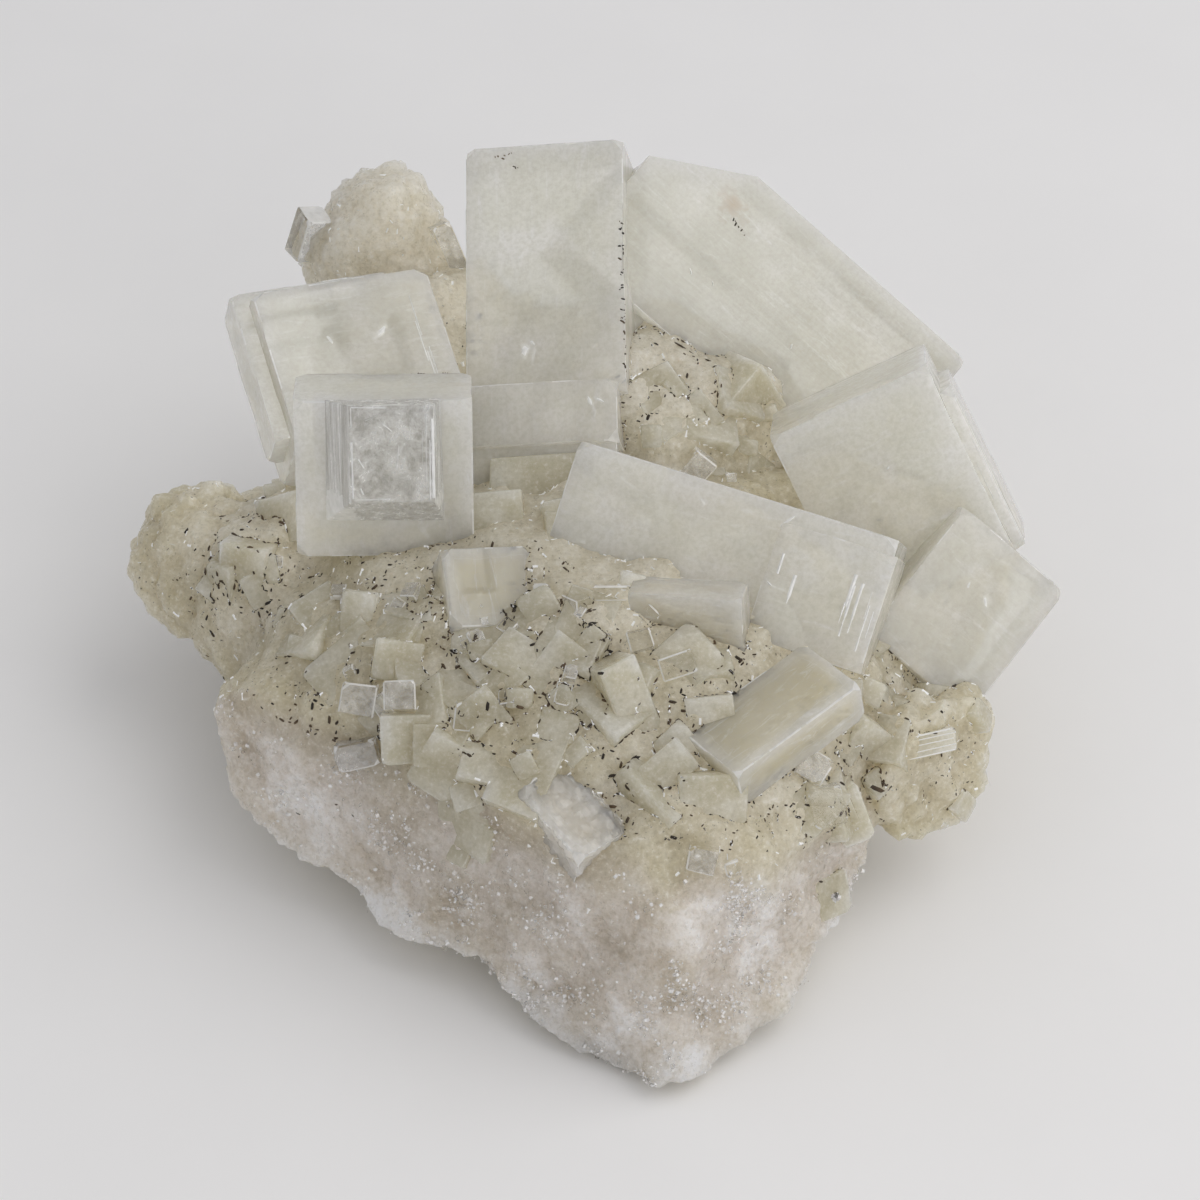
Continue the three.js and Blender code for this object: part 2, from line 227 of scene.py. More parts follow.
# Heights in metres, from the floor, over which the painted see-through green of a crystal's root fades
# out.
MOST_ROOTS = (0.012, 0.026)


def milky_apophyllite(name, tones, clear, seed, root=MOST_ROOTS, stain_at=None):
    """Apophyllite grown in a gas cavity, clouded by fluid inclusions: light goes well into it
    and comes out soft, its faces have a glassy skin, and faint veils hang along its axis."""
    material, tree = new_material(name)
    grown = add(tree, "Attribute", attribute_name="growth_mm").outputs["Vector"]
    # Each crystal takes its patterns from a place of its own, so no two are alike.
    own_place = (seed * 13.7, seed * 5.1, seed * 7.9)
    moved = add(tree, "VectorMath", {0: grown, 1: own_place}, operation="ADD")
    # Cloud banks 4 to 6 mm across.
    banks = add(tree, "TexNoise", {"Vector": moved, "Scale": 0.2, "Detail": 4.0, "Roughness": 0.5})
    tinted = add(tree, "ValToRGB", {"Fac": banks}, ramp=list(zip((0.36, 0.52, 0.66), tones)))
    # Painted see-through: the root of each crystal is painted greener and darker, for the green prehnite
    # seen through it.
    place = add(tree, "NewGeometry").outputs["Position"]
    height = add(tree, "SeparateXYZ", {0: place}).outputs["Z"]
    painted_see_through = add(tree, "MapRange", {"Value": height, "From Min": root[0], "From Max": root[1],
                                    "To Min": 0.5, "To Max": 0.0})
    tinted = add(tree, "Mix", {"Factor": painted_see_through, MIX_A: tinted, MIX_B: "D9D2B8"}, data_type="RGBA")
    if stain_at:
        # A rusty film a millimetre or two across, thickest in its middle.
        away = add(tree, "VectorMath", {0: grown, 1: stain_at}, operation="DISTANCE")
        ragged = add(tree, "TexNoise", {"Vector": grown, "Scale": 1.2, "Detail": 4.0})
        reach = add(tree, "MapRange", {"Value": ragged, "From Min": 0.3, "From Max": 0.7,
                                       "To Min": 0.3, "To Max": 2.4})
        film = add(tree, "MapRange", {"Value": away, "From Min": reach, "From Max": 0.0,
                                      "To Min": 0.0, "To Max": 0.5})
        tinted = add(tree, "Mix", {"Factor": film, MIX_A: tinted, MIX_B: "BFA27A"}, data_type="RGBA")
    # Painted light: whiter near the edges, where the crystal is thin and light comes through it; and a
    # faint inner frame where growth once paused.
    edge = add(tree, "Attribute", attribute_name="edge_mm").outputs["Fac"]
    painted_edge_light = add(tree, "MapRange", {"Value": edge, "From Min": 0.0, "From Max": 1.6, "To Min": 0.6,
                                  "To Max": 0.0}, interpolation_type="SMOOTHSTEP")
    waver = add(tree, "MapRange", {"Value": banks, "From Min": 0.3, "From Max": 0.7,
                                   "To Min": -0.5, "To Max": 0.5})
    paused = add(tree, "Math", {0: edge, 1: waver}, operation="ADD")
    frame_line = add(tree, "ValToRGB", {"Fac": paused},
                     ramp=[(0.0, 0), (0.9, 0), (0.93, 0.35), (0.97, 0)])
    whiter = add(tree, "Math", {0: painted_edge_light, 1: frame_line}, operation="ADD")
    tinted = add(tree, "Mix", {"Factor": whiter, MIX_A: tinted, MIX_B: "F4F2EC"}, data_type="RGBA")
    # Thin whiter wisps, 0.3 mm across and up to 4 mm long, where healed cracks run along the axis.
    drawn = add(tree, "VectorMath", {0: moved, 1: (1.6, 1.6, 0.3)}, operation="MULTIPLY")
    wisps = add(tree, "TexNoise", {"Vector": drawn, "Scale": 1.0, "Detail": 6.0, "Roughness": 0.7,
                                   "Distortion": 0.8})
    veil = add(tree, "MapRange", {"Value": wisps, "From Min": 0.55, "From Max": 0.7,
                                  "To Min": 0.0, "To Max": 0.7})
    veiled = add(tree, "Mix", {"Factor": veil, MIX_A: tinted, MIX_B: "FAFAF9"}, data_type="RGBA")
    # Inclusions 0.3 mm across, seen one by one near the skin.
    specks = add(tree, "TexNoise", {"Vector": moved, "Scale": 2.6, "Detail": 4.0, "Roughness": 0.75})
    dimmer = add(tree, "MapRange", {"Value": specks, "From Min": 0.36, "From Max": 0.6,
                                    "To Min": 0.4, "To Max": 0.0})
    veiled = add(tree, "Mix", {"Factor": dimmer, MIX_A: veiled, MIX_B: "CFCBBE"}, data_type="RGBA")
    # Growth lines 0.3 mm apart run along the axis on the prism faces, too fine for the mesh.
    lines = add(tree, "VectorMath", {0: moved, 1: (3.2, 3.2, 0.1)}, operation="MULTIPLY")
    grooves = add(tree, "TexNoise", {"Vector": lines, "Scale": 1.0, "Detail": 2.0})
    bump = add(tree, "Bump", {"Height": grooves, "Strength": 0.1, "Distance": 0.1 * MM})
    gloss = add(tree, "MapRange", {"Value": wisps, "From Min": 0.35, "From Max": 0.65,
                                   "To Min": 0.08, "To Max": 0.22})
    body = add(tree, "BsdfPrincipled", {
        "Base Color": veiled, "Roughness": gloss, "IOR": APOPHYLLITE_IOR,
        "Subsurface Weight": 1.0, "Subsurface Radius": (1.0, 0.98, 0.94),
        "Subsurface Scale": 6 * MM, "Transmission Weight": clear, "Normal": bump})
    add(tree, "OutputMaterial", {"Surface": body})
    return material


def glassy_mineral(name, ior):
    """Small late crystals and grains with no inclusions: colourless and glassy, with the crust
    behind them showing through a slightly uneven skin."""
    material, tree = new_material(name)
    place = add(tree, "TexCoord").outputs["Object"]
    # Flaws 1 mm across.
    flaws = add(tree, "TexNoise", {"Vector": place, "Scale": 0.9 / MM, "Detail": 4.0,
                                   "Roughness": 0.65})
    tone = add(tree, "ValToRGB", {"Fac": flaws}, ramp=[(0.4, "F4F4F2"), (0.65, "FEFEFE")])
    bump = add(tree, "Bump", {"Height": flaws, "Strength": 0.4, "Distance": 0.1 * MM})
    gloss = add(tree, "MapRange", {"Value": flaws, "To Min": 0.0, "To Max": 0.12})
    body = add(tree, "BsdfPrincipled", {"Base Color": tone, "Roughness": gloss, "IOR": ior,
                                        "Transmission Weight": 1.0, "Normal": bump})
    add(tree, "OutputMaterial", {"Surface": body})
    return material


def flawed_apophyllite(name, per_mm, clear):
    """Clear apophyllite full of fine cracks and steps: glassy, with white scratches and darker
    clear gaps between them, drawn out along the growth lines where `per_mm` is uneven."""
    material, tree = new_material(name)
    grown = add(tree, "Attribute", attribute_name="growth_mm").outputs["Vector"]
    drawn = add(tree, "VectorMath", {0: grown, 1: per_mm}, operation="MULTIPLY")
    cracks = add(tree, "TexNoise", {"Vector": drawn, "Scale": 1.0, "Detail": 8.0, "Roughness": 0.8,
                                    "Distortion": 0.3})
    tone = add(tree, "ValToRGB", {"Fac": cracks},
               ramp=[(0.4, "B9B7B2"), (0.49, "E2E1DE"), (0.56, "FEFEFE")])
    bump = add(tree, "Bump", {"Height": cracks, "Strength": 0.6, "Distance": 0.4 * MM})
    gloss = add(tree, "MapRange", {"Value": cracks, "From Min": 0.4, "From Max": 0.6,
                                   "To Min": 0.03, "To Max": 0.3})
    body = add(tree, "BsdfPrincipled", {
        "Base Color": tone, "Roughness": gloss, "IOR": APOPHYLLITE_IOR,
        "Transmission Weight": clear, "Normal": bump})
    add(tree, "OutputMaterial", {"Surface": body})
    return material


def frosted_apophyllite(name, code, clear):
    """Apophyllite where it is worn, cleaved or finely broken: the same mineral, but its tiny
    faces scatter the light and it looks white."""
    material, tree = new_material(name)
    place = add(tree, "TexCoord").outputs["Object"]
    # The broken faces are far finer than this 0.5 mm mottle, which is as fine as shows.
    frost = add(tree, "TexNoise", {"Vector": place, "Scale": 1.8 / MM, "Detail": 3.0})
    tone = add(tree, "ValToRGB", {"Fac": frost}, ramp=[(0.35, code), (0.6, "FBFBFA")])
    gloss = add(tree, "MapRange", {"Value": frost, "To Min": 0.05, "To Max": 0.35})
    body = add(tree, "BsdfPrincipled", {"Base Color": tone, "Roughness": gloss,
                                        "IOR": APOPHYLLITE_IOR, "Transmission Weight": clear})
    add(tree, "OutputMaterial", {"Surface": body})
    return material


def speckled(tree, place, tone, per_mm, clearer, milkier):
    """Lays single grains over a tone, clearer and milkier by turns, each with its strongest share
    and its colour. Returns the new tone and the pattern of the grains."""
    grains = add(tree, "TexNoise", {"Vector": place, "Scale": per_mm / MM, "Detail": 4.0,
                                    "Roughness": 0.75})
    dimmed = add(tree, "MapRange", {"Value": grains, "From Min": 0.5, "From Max": 0.34,
                                    "To Min": 0.0, "To Max": clearer[0]})
    tone = add(tree, "Mix", {"Factor": dimmed, MIX_A: tone, MIX_B: clearer[1]}, data_type="RGBA")
    whitened = add(tree, "MapRange", {"Value": grains, "From Min": 0.54, "From Max": 0.7,
                                      "To Min": 0.0, "To Max": milkier[0]})
    tone = add(tree, "Mix", {"Factor": whitened, MIX_A: tone, MIX_B: milkier[1]}, data_type="RGBA")
    return tone, grains


def prehnite_crust():
    """Prehnite grown as a crust of small crystals, and its fresh break: pale grey-green and
    waxy where grown, whitish and sugary where broken, with light going deep into both."""
    material, tree = new_material("grown_and_broken_prehnite")
    place = add(tree, "TexCoord").outputs["Object"]
    broken = add(tree, "Attribute", attribute_name="broken").outputs["Fac"]
    # Patches 5 to 8 mm across where the crust is greener or greyer, broken up by 1 mm ones.
    patches = add(tree, "TexNoise", {"Vector": place, "Scale": 0.14 / MM, "Detail": 7.0,
                                     "Roughness": 0.66})
    grown = add(tree, "ValToRGB", {"Fac": patches},
                ramp=[(0.36, "BFB597"), (0.5, "CAC1A7"), (0.64, "D9D2BE")])
    sugar = add(tree, "ValToRGB", {"Fac": patches},
                ramp=[(0.34, "C8BDAC"), (0.5, "DDD5CB"), (0.62, "F6F3F0")])
    # The crust is painted paler higher up on the cluster.
    position = add(tree, "NewGeometry").outputs["Position"]
    height = add(tree, "SeparateXYZ", {0: position}).outputs["Z"]
    high_up = add(tree, "MapRange", {"Value": height, "From Min": 22 * MM, "From Max": 30 * MM,
                                     "To Min": 0.0, "To Max": 0.55})
    paler_higher_up = add(tree, "Mix", {"Factor": high_up, MIX_A: grown, MIX_B: "E6E1D6"}, data_type="RGBA")
    base = add(tree, "Mix", {"Factor": broken, MIX_A: paler_higher_up, MIX_B: sugar}, data_type="RGBA")
    # Below the rim of the crust the break is browner and darker: stained prehnite, and painted shade
    # under the rim.
    rim = add(tree, "Attribute", attribute_name="stained_rim").outputs["Fac"]
    stain_and_shade = add(tree, "Mix", {"Factor": rim, MIX_A: base, MIX_B: "AFA28B"}, data_type="RGBA")
    # Single grains 0.2 to 0.5 mm across.
    grained, _ = speckled(tree, place, stain_and_shade, 2.4, (0.32, "8F8568"), (0.5, "F3F0E8"))
    # Oxide dust in pits 0.15 mm across, thicker in drifts 4 mm across, none on the fresh break.
    pits = add(tree, "TexNoise", {"Vector": place, "Scale": 3.6 / MM, "Detail": 2.0,
                                  "Roughness": 0.5})
    drifts = add(tree, "TexNoise", {"Vector": place, "Scale": 0.22 / MM, "Detail": 3.0})
    bare = add(tree, "Math", {0: drifts, 1: broken}, operation="ADD")
    bare = add(tree, "Math", {0: bare, 1: high_up}, operation="ADD")
    depth_of_dust = add(tree, "Math", {0: bare, 1: 0.35, 2: pits}, operation="MULTIPLY_ADD")
    dust = add(tree, "MapRange", {"Value": depth_of_dust, "From Min": 0.475, "From Max": 0.43,
                                  "To Min": 0.0, "To Max": 0.85})
    dusted = add(tree, "Mix", {"Factor": dust, MIX_A: grained, MIX_B: "3A2F22"}, data_type="RGBA")
    # Grains 0.6 mm across tilt the surface, finer than the mesh can.
    fine = add(tree, "TexNoise", {"Vector": place, "Scale": 1.5 / MM, "Detail": 5.0,
                                  "Roughness": 0.7})
    depth = add(tree, "MapRange", {"Value": broken, "To Min": 0.3, "To Max": 0.75})
    bump = add(tree, "Bump", {"Height": fine, "Strength": depth, "Distance": 0.3 * MM})
    gloss = add(tree, "MapRange", {"Value": fine, "To Min": 0.12, "To Max": 0.5})
    body = add(tree, "BsdfPrincipled", {
        "Base Color": dusted, "Roughness": gloss, "IOR": PREHNITE_IOR,
        "Subsurface Weight": 1.0, "Subsurface Radius": (1.0, 0.96, 0.88),
        "Subsurface Scale": 8 * MM, "Transmission Weight": 0.08, "Normal": bump})
    add(tree, "OutputMaterial", {"Surface": body})
    return material


def small_milky_apophyllite():
    """Small apophyllite blocks set in the crust: waxy and half clear, a little whiter than it."""
    material, tree = new_material("small_milky_apophyllite")
    place = add(tree, "TexCoord").outputs["Object"]
    # Patches 4 mm across.
    patches = add(tree, "TexNoise", {"Vector": place, "Scale": 0.26 / MM, "Detail": 4.0,
                                     "Roughness": 0.6})
    tone = add(tree, "ValToRGB", {"Fac": patches},
               ramp=[(0.36, "C1B99F"), (0.5, "CBC4AD"), (0.64, "D9D4C3")])
    # Inclusions 0.3 mm across, seen one by one near the skin.
    tone, specks = speckled(tree, place, tone, 2.6, (0.22, "8F8770"), (0.45, "F3F1EA"))
    bump = add(tree, "Bump", {"Height": specks, "Strength": 0.25, "Distance": 0.2 * MM})
    gloss = add(tree, "MapRange", {"Value": patches, "To Min": 0.05, "To Max": 0.25})
    body = add(tree, "BsdfPrincipled", {
        "Base Color": tone, "Roughness": gloss, "IOR": APOPHYLLITE_IOR,
        "Subsurface Weight": 1.0, "Subsurface Radius": (1.0, 0.96, 0.9),
        "Subsurface Scale": 8 * MM, "Transmission Weight": 0.15, "Normal": bump})
    add(tree, "OutputMaterial", {"Surface": body})
    return material


def dark_grains():
    """Iron and manganese oxides that settled in the seams: near-black brown, dull grains."""
    material, tree = new_material("settled_oxide_grains")
    place = add(tree, "TexCoord").outputs["Object"]
    # Grains 2 mm apart differ in how brown they are.
    mottle = add(tree, "TexNoise", {"Vector": place, "Scale": 0.5 / MM, "Detail": 2.0})
    tone = add(tree, "ValToRGB", {"Fac": mottle}, ramp=[(0.38, "1F1810"), (0.64, "54432F")])
    body = add(tree, "BsdfPrincipled", {"Base Color": tone, "Roughness": 0.7})
    add(tree, "OutputMaterial", {"Surface": body})
    return material


def sweep_paper():
    """Matt white background paper: even and pale, with a faint fibre mottle."""
    material, tree = new_material("matt_background_paper")
    place = add(tree, "TexCoord").outputs["Object"]
    # Its fibres are far finer than this mottle of 17 mm, which is all that shows.
    fibre = add(tree, "TexNoise", {"Vector": place, "Scale": 0.06 / MM, "Detail": 3.0})
    tone = add(tree, "ValToRGB", {"Fac": fibre}, ramp=[(0.3, "F1F0EF"), (0.7, "F3F2F1")])
    body = add(tree, "BsdfPrincipled", {"Base Color": tone, "Roughness": 0.9})
    add(tree, "OutputMaterial", {"Surface": body})
    return material


# ---------------------------------------------------------------- unevenness of grown surfaces

CRUST_TURNS = 12  # the crust's cubes are turned in this many ways


def hashed(cells, seed):
    """Four numbers from 0 to 1 for each whole-number cell, always the same for that cell."""
    x, y, z = (cells[:, i].astype(np.uint64) for i in range(3))
    mixed = x * np.uint64(73856093) ^ y * np.uint64(19349663) ^ z * np.uint64(83492791)
    mixed ^= np.uint64(seed * 2654435761)
    out = []
    for _ in range(4):
        mixed = (mixed ^ (mixed >> np.uint64(29))) * np.uint64(0xBF58476D1CE4E5B9)
        mixed ^= mixed >> np.uint64(32)
        out.append((mixed & np.uint64(0xFFFFFF)).astype(float) / 0xFFFFFF)
    return out


def cloud(points, size, seed):
    """Smooth unevenness from -1 to 1 whose swells are about `size` across."""
    place = points / size + seed * 7.31
    cell = np.floor(place).astype(np.int64)
    t = place - cell
    t = t * t * (3 - 2 * t)
    total = np.zeros(len(points))
    for corner in itertools.product((0, 1), repeat=3):
        value = hashed(cell + corner, seed)[0] * 2 - 1
        weight = np.prod(np.where(corner, t, 1 - t), axis=1)
        total += value * weight
    return total


def crystal_crust(points, size, seed):
    """Relief of a crust of randomly turned cubes about `size` across, from 0 up to about 0.5."""
    place = points / size
    home = np.floor(place).astype(np.int64)
    best = np.full(len(points), -1.0)
    turns = [turned_any(k) for k in range(CRUST_TURNS)]
    for step in itertools.product((-1, 0, 1), repeat=3):
        cell = home + step
        a, b, c, d = hashed(cell, seed)
        middle = cell + 0.5 + 0.45 * (np.stack([a, b, c], 1) * 2 - 1)
        away = place - middle
        kind = np.minimum((d * CRUST_TURNS).astype(int), CRUST_TURNS - 1)
        turned_away = np.zeros_like(away)
        for k, turn in enumerate(turns):
            chosen = kind == k
            turned_away[chosen] = away[chosen] @ turn
        reach = 0.45 + 0.25 * a - np.abs(turned_away).max(axis=1)
        best = np.maximum(best, reach)
    return np.maximum(best, 0)


def turned_any(k):
    """The k-th of a fixed set of turns with no two alike."""
    golden = 2.399963
    turn = Matrix.Rotation(k * golden, 3, "Z") @ Matrix.Rotation(0.7 + 0.45 * k, 3, "X")
    return np.array(turn @ Matrix.Rotation(1.9 * k, 3, "Z"))


def smooth_step(low_end, high_end, value):
    """0 at the low end and 1 at the high end, with a soft ramp between; either may be the larger."""
    t = np.clip((value - low_end) / (high_end - low_end), 0, 1)
    return t * t * (3 - 2 * t)


# ---------------------------------------------------------------- meshes


def mesh_of(name, points, faces):
    mesh = bpy.data.meshes.new(name)
    mesh.from_pydata([tuple(p) for p in points], [], faces)
    mesh.update()
    return mesh


def object_of(name, mesh):
    made = bpy.data.objects.new(name, mesh)
    scene.collection.objects.link(made)
    return made


def settled(holder):
    """The object's mesh with its modifiers applied; the object itself goes."""
    bpy.context.view_layer.update()
    depsgraph = bpy.context.evaluated_depsgraph_get()
    mesh = bpy.data.meshes.new_from_object(holder.evaluated_get(depsgraph), depsgraph=depsgraph)
    old = holder.data
    bpy.data.objects.remove(holder)
    bpy.data.meshes.remove(old)
    return mesh


def merged(meshes, name):
    """Several meshes in one, each still a closed skin of its own."""
    body = bmesh.new()
    for mesh in meshes:
        body.from_mesh(mesh)
        bpy.data.meshes.remove(mesh)
    whole = bpy.data.meshes.new(name)
    body.to_mesh(whole)
    body.free()
    return whole


def fused(meshes):
    """One solid skin round several closed meshes that overlap."""
    first = object_of("body_to_fuse", meshes[0])
    others = bpy.data.collections.new("fused_with_it")
    scene.collection.children.link(others)
    for mesh in meshes[1:]:
        part = bpy.data.objects.new("part_to_fuse", mesh)
        others.objects.link(part)
    join = first.modifiers.new("fuse", "BOOLEAN")
    join.operation = "UNION"
    join.solver = "MANIFOLD"
    join.operand_type = "COLLECTION"
    join.collection = others
    whole = settled(first)
    for part in list(others.objects):
        mesh = part.data
        bpy.data.objects.remove(part)
        bpy.data.meshes.remove(mesh)
    bpy.data.collections.remove(others)
    return whole


class Scatter:
    """Many small closed solids gathered into one mesh."""

    def __init__(self):
        self.corners, self.faces = [], []

    def add(self, corners, faces):
        """Adds one of them, whose faces number its own corners from 0."""
        number = len(self.corners)
        self.faces += [tuple(number + k for k in face) for face in faces]
        self.corners += corners

    def mesh(self, name):
        return mesh_of(name, self.corners, self.faces)


def coordinates(mesh):
    flat = np.empty(len(mesh.vertices) * 3, np.float32)
    mesh.vertices.foreach_get("co", flat)
    return flat.reshape(-1, 3).astype(float)


def normals_of(mesh):
    flat = np.empty(len(mesh.vertices) * 3, np.float32)
    mesh.vertex_normals.foreach_get("vector", flat)
    return flat.reshape(-1, 3).astype(float)


def move_points(mesh, points):
    mesh.vertices.foreach_set("co", points.astype(np.float32).ravel())
    mesh.update()


def skin_of(mesh):
    """The mesh's faces, ready to be searched for a nearest point or for where a ray meets them."""
    corners = [tuple(p) for p in coordinates(mesh)]
    return BVHTree.FromPolygons(corners, [tuple(f.vertices) for f in mesh.polygons])


def seat(skin, x, y):
    """The skin's highest point above a place on the plan, and its normal there."""
    point, normal, _, _ = skin.ray_cast(Vector((x, y, ABOVE_ALL)), Vector((0, 0, -1)))
    return point, normal


def searchable(places):
    """The places, numbered in their order, in a tree that finds those near a point."""
    tree = KDTree(len(places))
    for number, place in enumerate(places):
        tree.insert(place, number)
    tree.balance()
    return tree


def mark(mesh, name, values):
    """Writes one number or one vector for each point of the mesh."""
    vector = np.ndim(values) == 2
    layer = mesh.attributes.new(name, "FLOAT_VECTOR" if vector else "FLOAT", "POINT")
    flat = np.asarray(values, np.float32).ravel()
    layer.data.foreach_set("vector" if vector else "value", flat)


def shade_by_angle(mesh, degrees):
    """Smooth shading, with hard edges where faces meet at more than this."""
    body = bmesh.new()
    body.from_mesh(mesh)
    limit = math.radians(degrees)
    for face in body.faces:
        face.smooth = True
    for edge in body.edges:
        edge.smooth = len(edge.link_faces) == 2 and edge.calc_face_angle(0) < limit
    body.to_mesh(mesh)
    body.free()


def finished(name, mesh, materials, nodes=(), passes_light=False):
    """Brings a mesh to the row frame as a piece that rides on the cluster. Clear and milky
    apophyllite passes most of the light that falls on it, so it throws no shadow."""
    mesh.transform(TO_ROW)
    mesh.name = name
    kinds = np.empty(len(mesh.polygons), np.int32)
    mesh.polygons.foreach_get("material_index", kinds)
    mesh.materials.clear()
    for material in materials:
        mesh.materials.append(material)
    mesh.polygons.foreach_set("material_index", kinds)
    piece = object_of(name, mesh)
    piece.visible_shadow = not passes_light
    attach(piece, "root")
    if nodes:
        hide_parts(*nodes)
    return piece


# ---------------------------------------------------------------- the matrix


def wavy(points):
    """Height of the swells that all the lumps share."""
    x, y, z = points.T
    broad = np.sin(0.55 * x + 1.3) * np.sin(0.5 * y + 0.4 * z + 0.7)
    fine = np.sin(1.25 * x + 0.6 * z) * np.sin(1.1 * y - 0.8 * z + 2.1)
    return ROUGHNESS * (broad + FINE_SHARE * fine)


def soft_min(a, b, softness):
    """The smaller of the two, rounded where they are closer than `softness`."""
    blend = np.maximum(softness - np.abs(a - b), 0) / softness
    return np.minimum(a, b) - blend * blend * softness / 4


def lump_mesh(at, radii):
    """A wavy ellipsoid cut flat by the breaks at the front and by the floor."""
    body = bmesh.new()
    bmesh.ops.create_icosphere(body, subdivisions=5, radius=1)
    mesh = bpy.data.meshes.new("lump")
    body.to_mesh(mesh)
    body.free()
    arms = coordinates(mesh) * np.array(radii)
    radius = np.linalg.norm(arms, axis=1)
    direction = arms / radius[:, None]
    reach = radius
    for facing, distance in FRONT_BREAKS:
        face = np.array(facing) / np.linalg.norm(facing)
        rate = direction @ face
        stop = (distance - face @ np.array(at)) / np.where(rate < GRAZING, 1, rate)
        reach = np.where(rate < GRAZING, reach, soft_min(reach, stop, BREAK_SOFTNESS))
    points = np.array(at) + direction * reach[:, None]
    points += direction * wavy(points)[:, None]
    points[:, 2] = np.maximum(points[:, 2], 0)
    move_points(mesh, points)
    return mesh


def smooth_matrix():
    """The lumps fused into one skin, before any crust is on it."""
    lumps = merged([lump_mesh(at, radii) for at, radii in LUMPS], "lumps")
    holder = object_of("lumps", lumps)
    grid = holder.modifiers.new("fuse", "REMESH")
    grid.mode = "VOXEL"
    grid.voxel_size = VOXEL
    grid.use_smooth_shade = True
    return settled(holder)


def broken_share(points, normals):
    """1 on the broken front, 0 on the grown crust."""
    share = np.zeros(len(points))
    for facing, distance in FRONT_BREAKS:
        face = np.array(facing) / np.linalg.norm(facing)
        depth = np.abs(distance - points @ face)
        on_break = smooth_step(2.4, 1.0, depth) * smooth_step(0.45, 0.75, normals @ face)
        share = np.maximum(share, on_break)
    for at, reach in LOBES:
        share *= 1 - smooth_step(reach, 0.7 * reach, np.linalg.norm(points - at, axis=1))
    lowered = 3 * smooth_step(8, 13, points[:, 0])  # the crust comes further down on the right
    return share * smooth_step(18.5, 13, points[:, 2] + lowered)


def refined(mesh, chosen):
    """Halves the grid of the mesh where `chosen` marks its points."""
    body = bmesh.new()
    body.from_mesh(mesh)
    body.verts.ensure_lookup_table()
    edges = [e for e in body.edges if chosen[e.verts[0].index] and chosen[e.verts[1].index]]
    bmesh.ops.subdivide_edges(body, edges=edges, cuts=1, use_grid_fill=True)
    bmesh.ops.triangulate(body, faces=[f for f in body.faces if len(f.verts) > 4])
    body.to_mesh(mesh)
    body.free()


def crust_relief(points, normals):
    """Height of the grown crust: knobbly, coarser round the back, and serrated at the lobes' rims
    but not on the side of them that lies open to the front."""
    serrated = sum(smooth_step(reach, reach * 0.6, np.linalg.norm(points - at, axis=1))
                   for at, reach in SERRATED)
    open_side = smooth_step(0.5, 0.85, normals @ np.array((0, -0.707, 0.707)))
    away_side = smooth_step(0.1, 0.6, normals[:, 1])
    knobs = (0.3 + 0.6 * away_side) * cloud(points, 5, 1)
    knobs += (0.2 + 0.25 * away_side) * cloud(points, 2.2, 2)
    strength = (0.5 + 1.1 * serrated) * (1 - 0.8 * np.minimum(serrated, 1) * open_side)
    crystals = strength * (crystal_crust(points, 1.9, 5) - 0.2) * 1.1
    return knobs + crystals + 0.35 * (crystal_crust(points, 0.95, 6) - 0.2)


def break_relief(points, normals):
    """Height of the fresh break: hollows and steps with a sugar of crystals, rougher underneath."""
    hollows = 0.4 * cloud(points, 4.5, 3) + 0.25 * cloud(points, 1.8, 4)
    strength = 0.3 + 0.5 * smooth_step(0.35, -0.2, normals[:, 2])
    crystals = strength * (crystal_crust(points, 1.2, 7) - 0.2)
    return hollows + crystals + 0.3 * (crystal_crust(points, 0.6, 8) - 0.2)


def foot_clearance(points, on_floor):
    """How far each point rises so that the cluster stands on the middle of its underside, with
    the rim of its foot clear of the floor."""
    at_rim = points[(points[:, 2] < 1) & ~on_floor] * (1, 1, 0)
    rim = searchable(at_rim)
    in_from_rim = np.zeros(len(points))
    for index in np.flatnonzero(on_floor):
        in_from_rim[index] = rim.find((*points[index, :2], 0))[2]
    clear = UNDERCUT + 0.5 * cloud(points * (1, 1, 0), 6, 13)
    clear *= smooth_step(4.5, 0, in_from_rim)
    return clear * (1 - 0.6 * smooth_step(-20, -29, points[:, 1]))


def crusted_matrix():
    """The matrix with its crust and its break, and the smooth skin that they grow from."""
    mesh = smooth_matrix()
    smooth_skin = skin_of(mesh)
    refined(mesh, broken_share(coordinates(mesh), normals_of(mesh)) > 0.3)
    points, normals = coordinates(mesh), normals_of(mesh)
    broken = broken_share(points, normals)
    lift = crust_relief(points, normals) * (1 - broken) + break_relief(points, normals) * broken
    lift *= 1 - smooth_step(0.9, 0.1, points[:, 2])
    points += normals * lift[:, None]
    on_floor = (points[:, 2] < 0.4) & (normals[:, 2] < -0.5)
    points[on_floor, 2] = 0
    points[:, 2] = np.maximum(points[:, 2], 0)
    clear = foot_clearance(points, on_floor)
    fading = np.clip(1 - points[:, 2] / UNDERCUT_TOP, 0, 1)
    outward = normals * (1, 1, 0)
    points += outward * (0.5 * clear * fading * (~on_floor))[:, None]
    points[:, 2] += clear * fading
    move_points(mesh, points)
    return mesh, smooth_skin


matrix_mesh, SMOOTH_SKIN = crusted_matrix()

# ---------------------------------------------------------------- large crystals

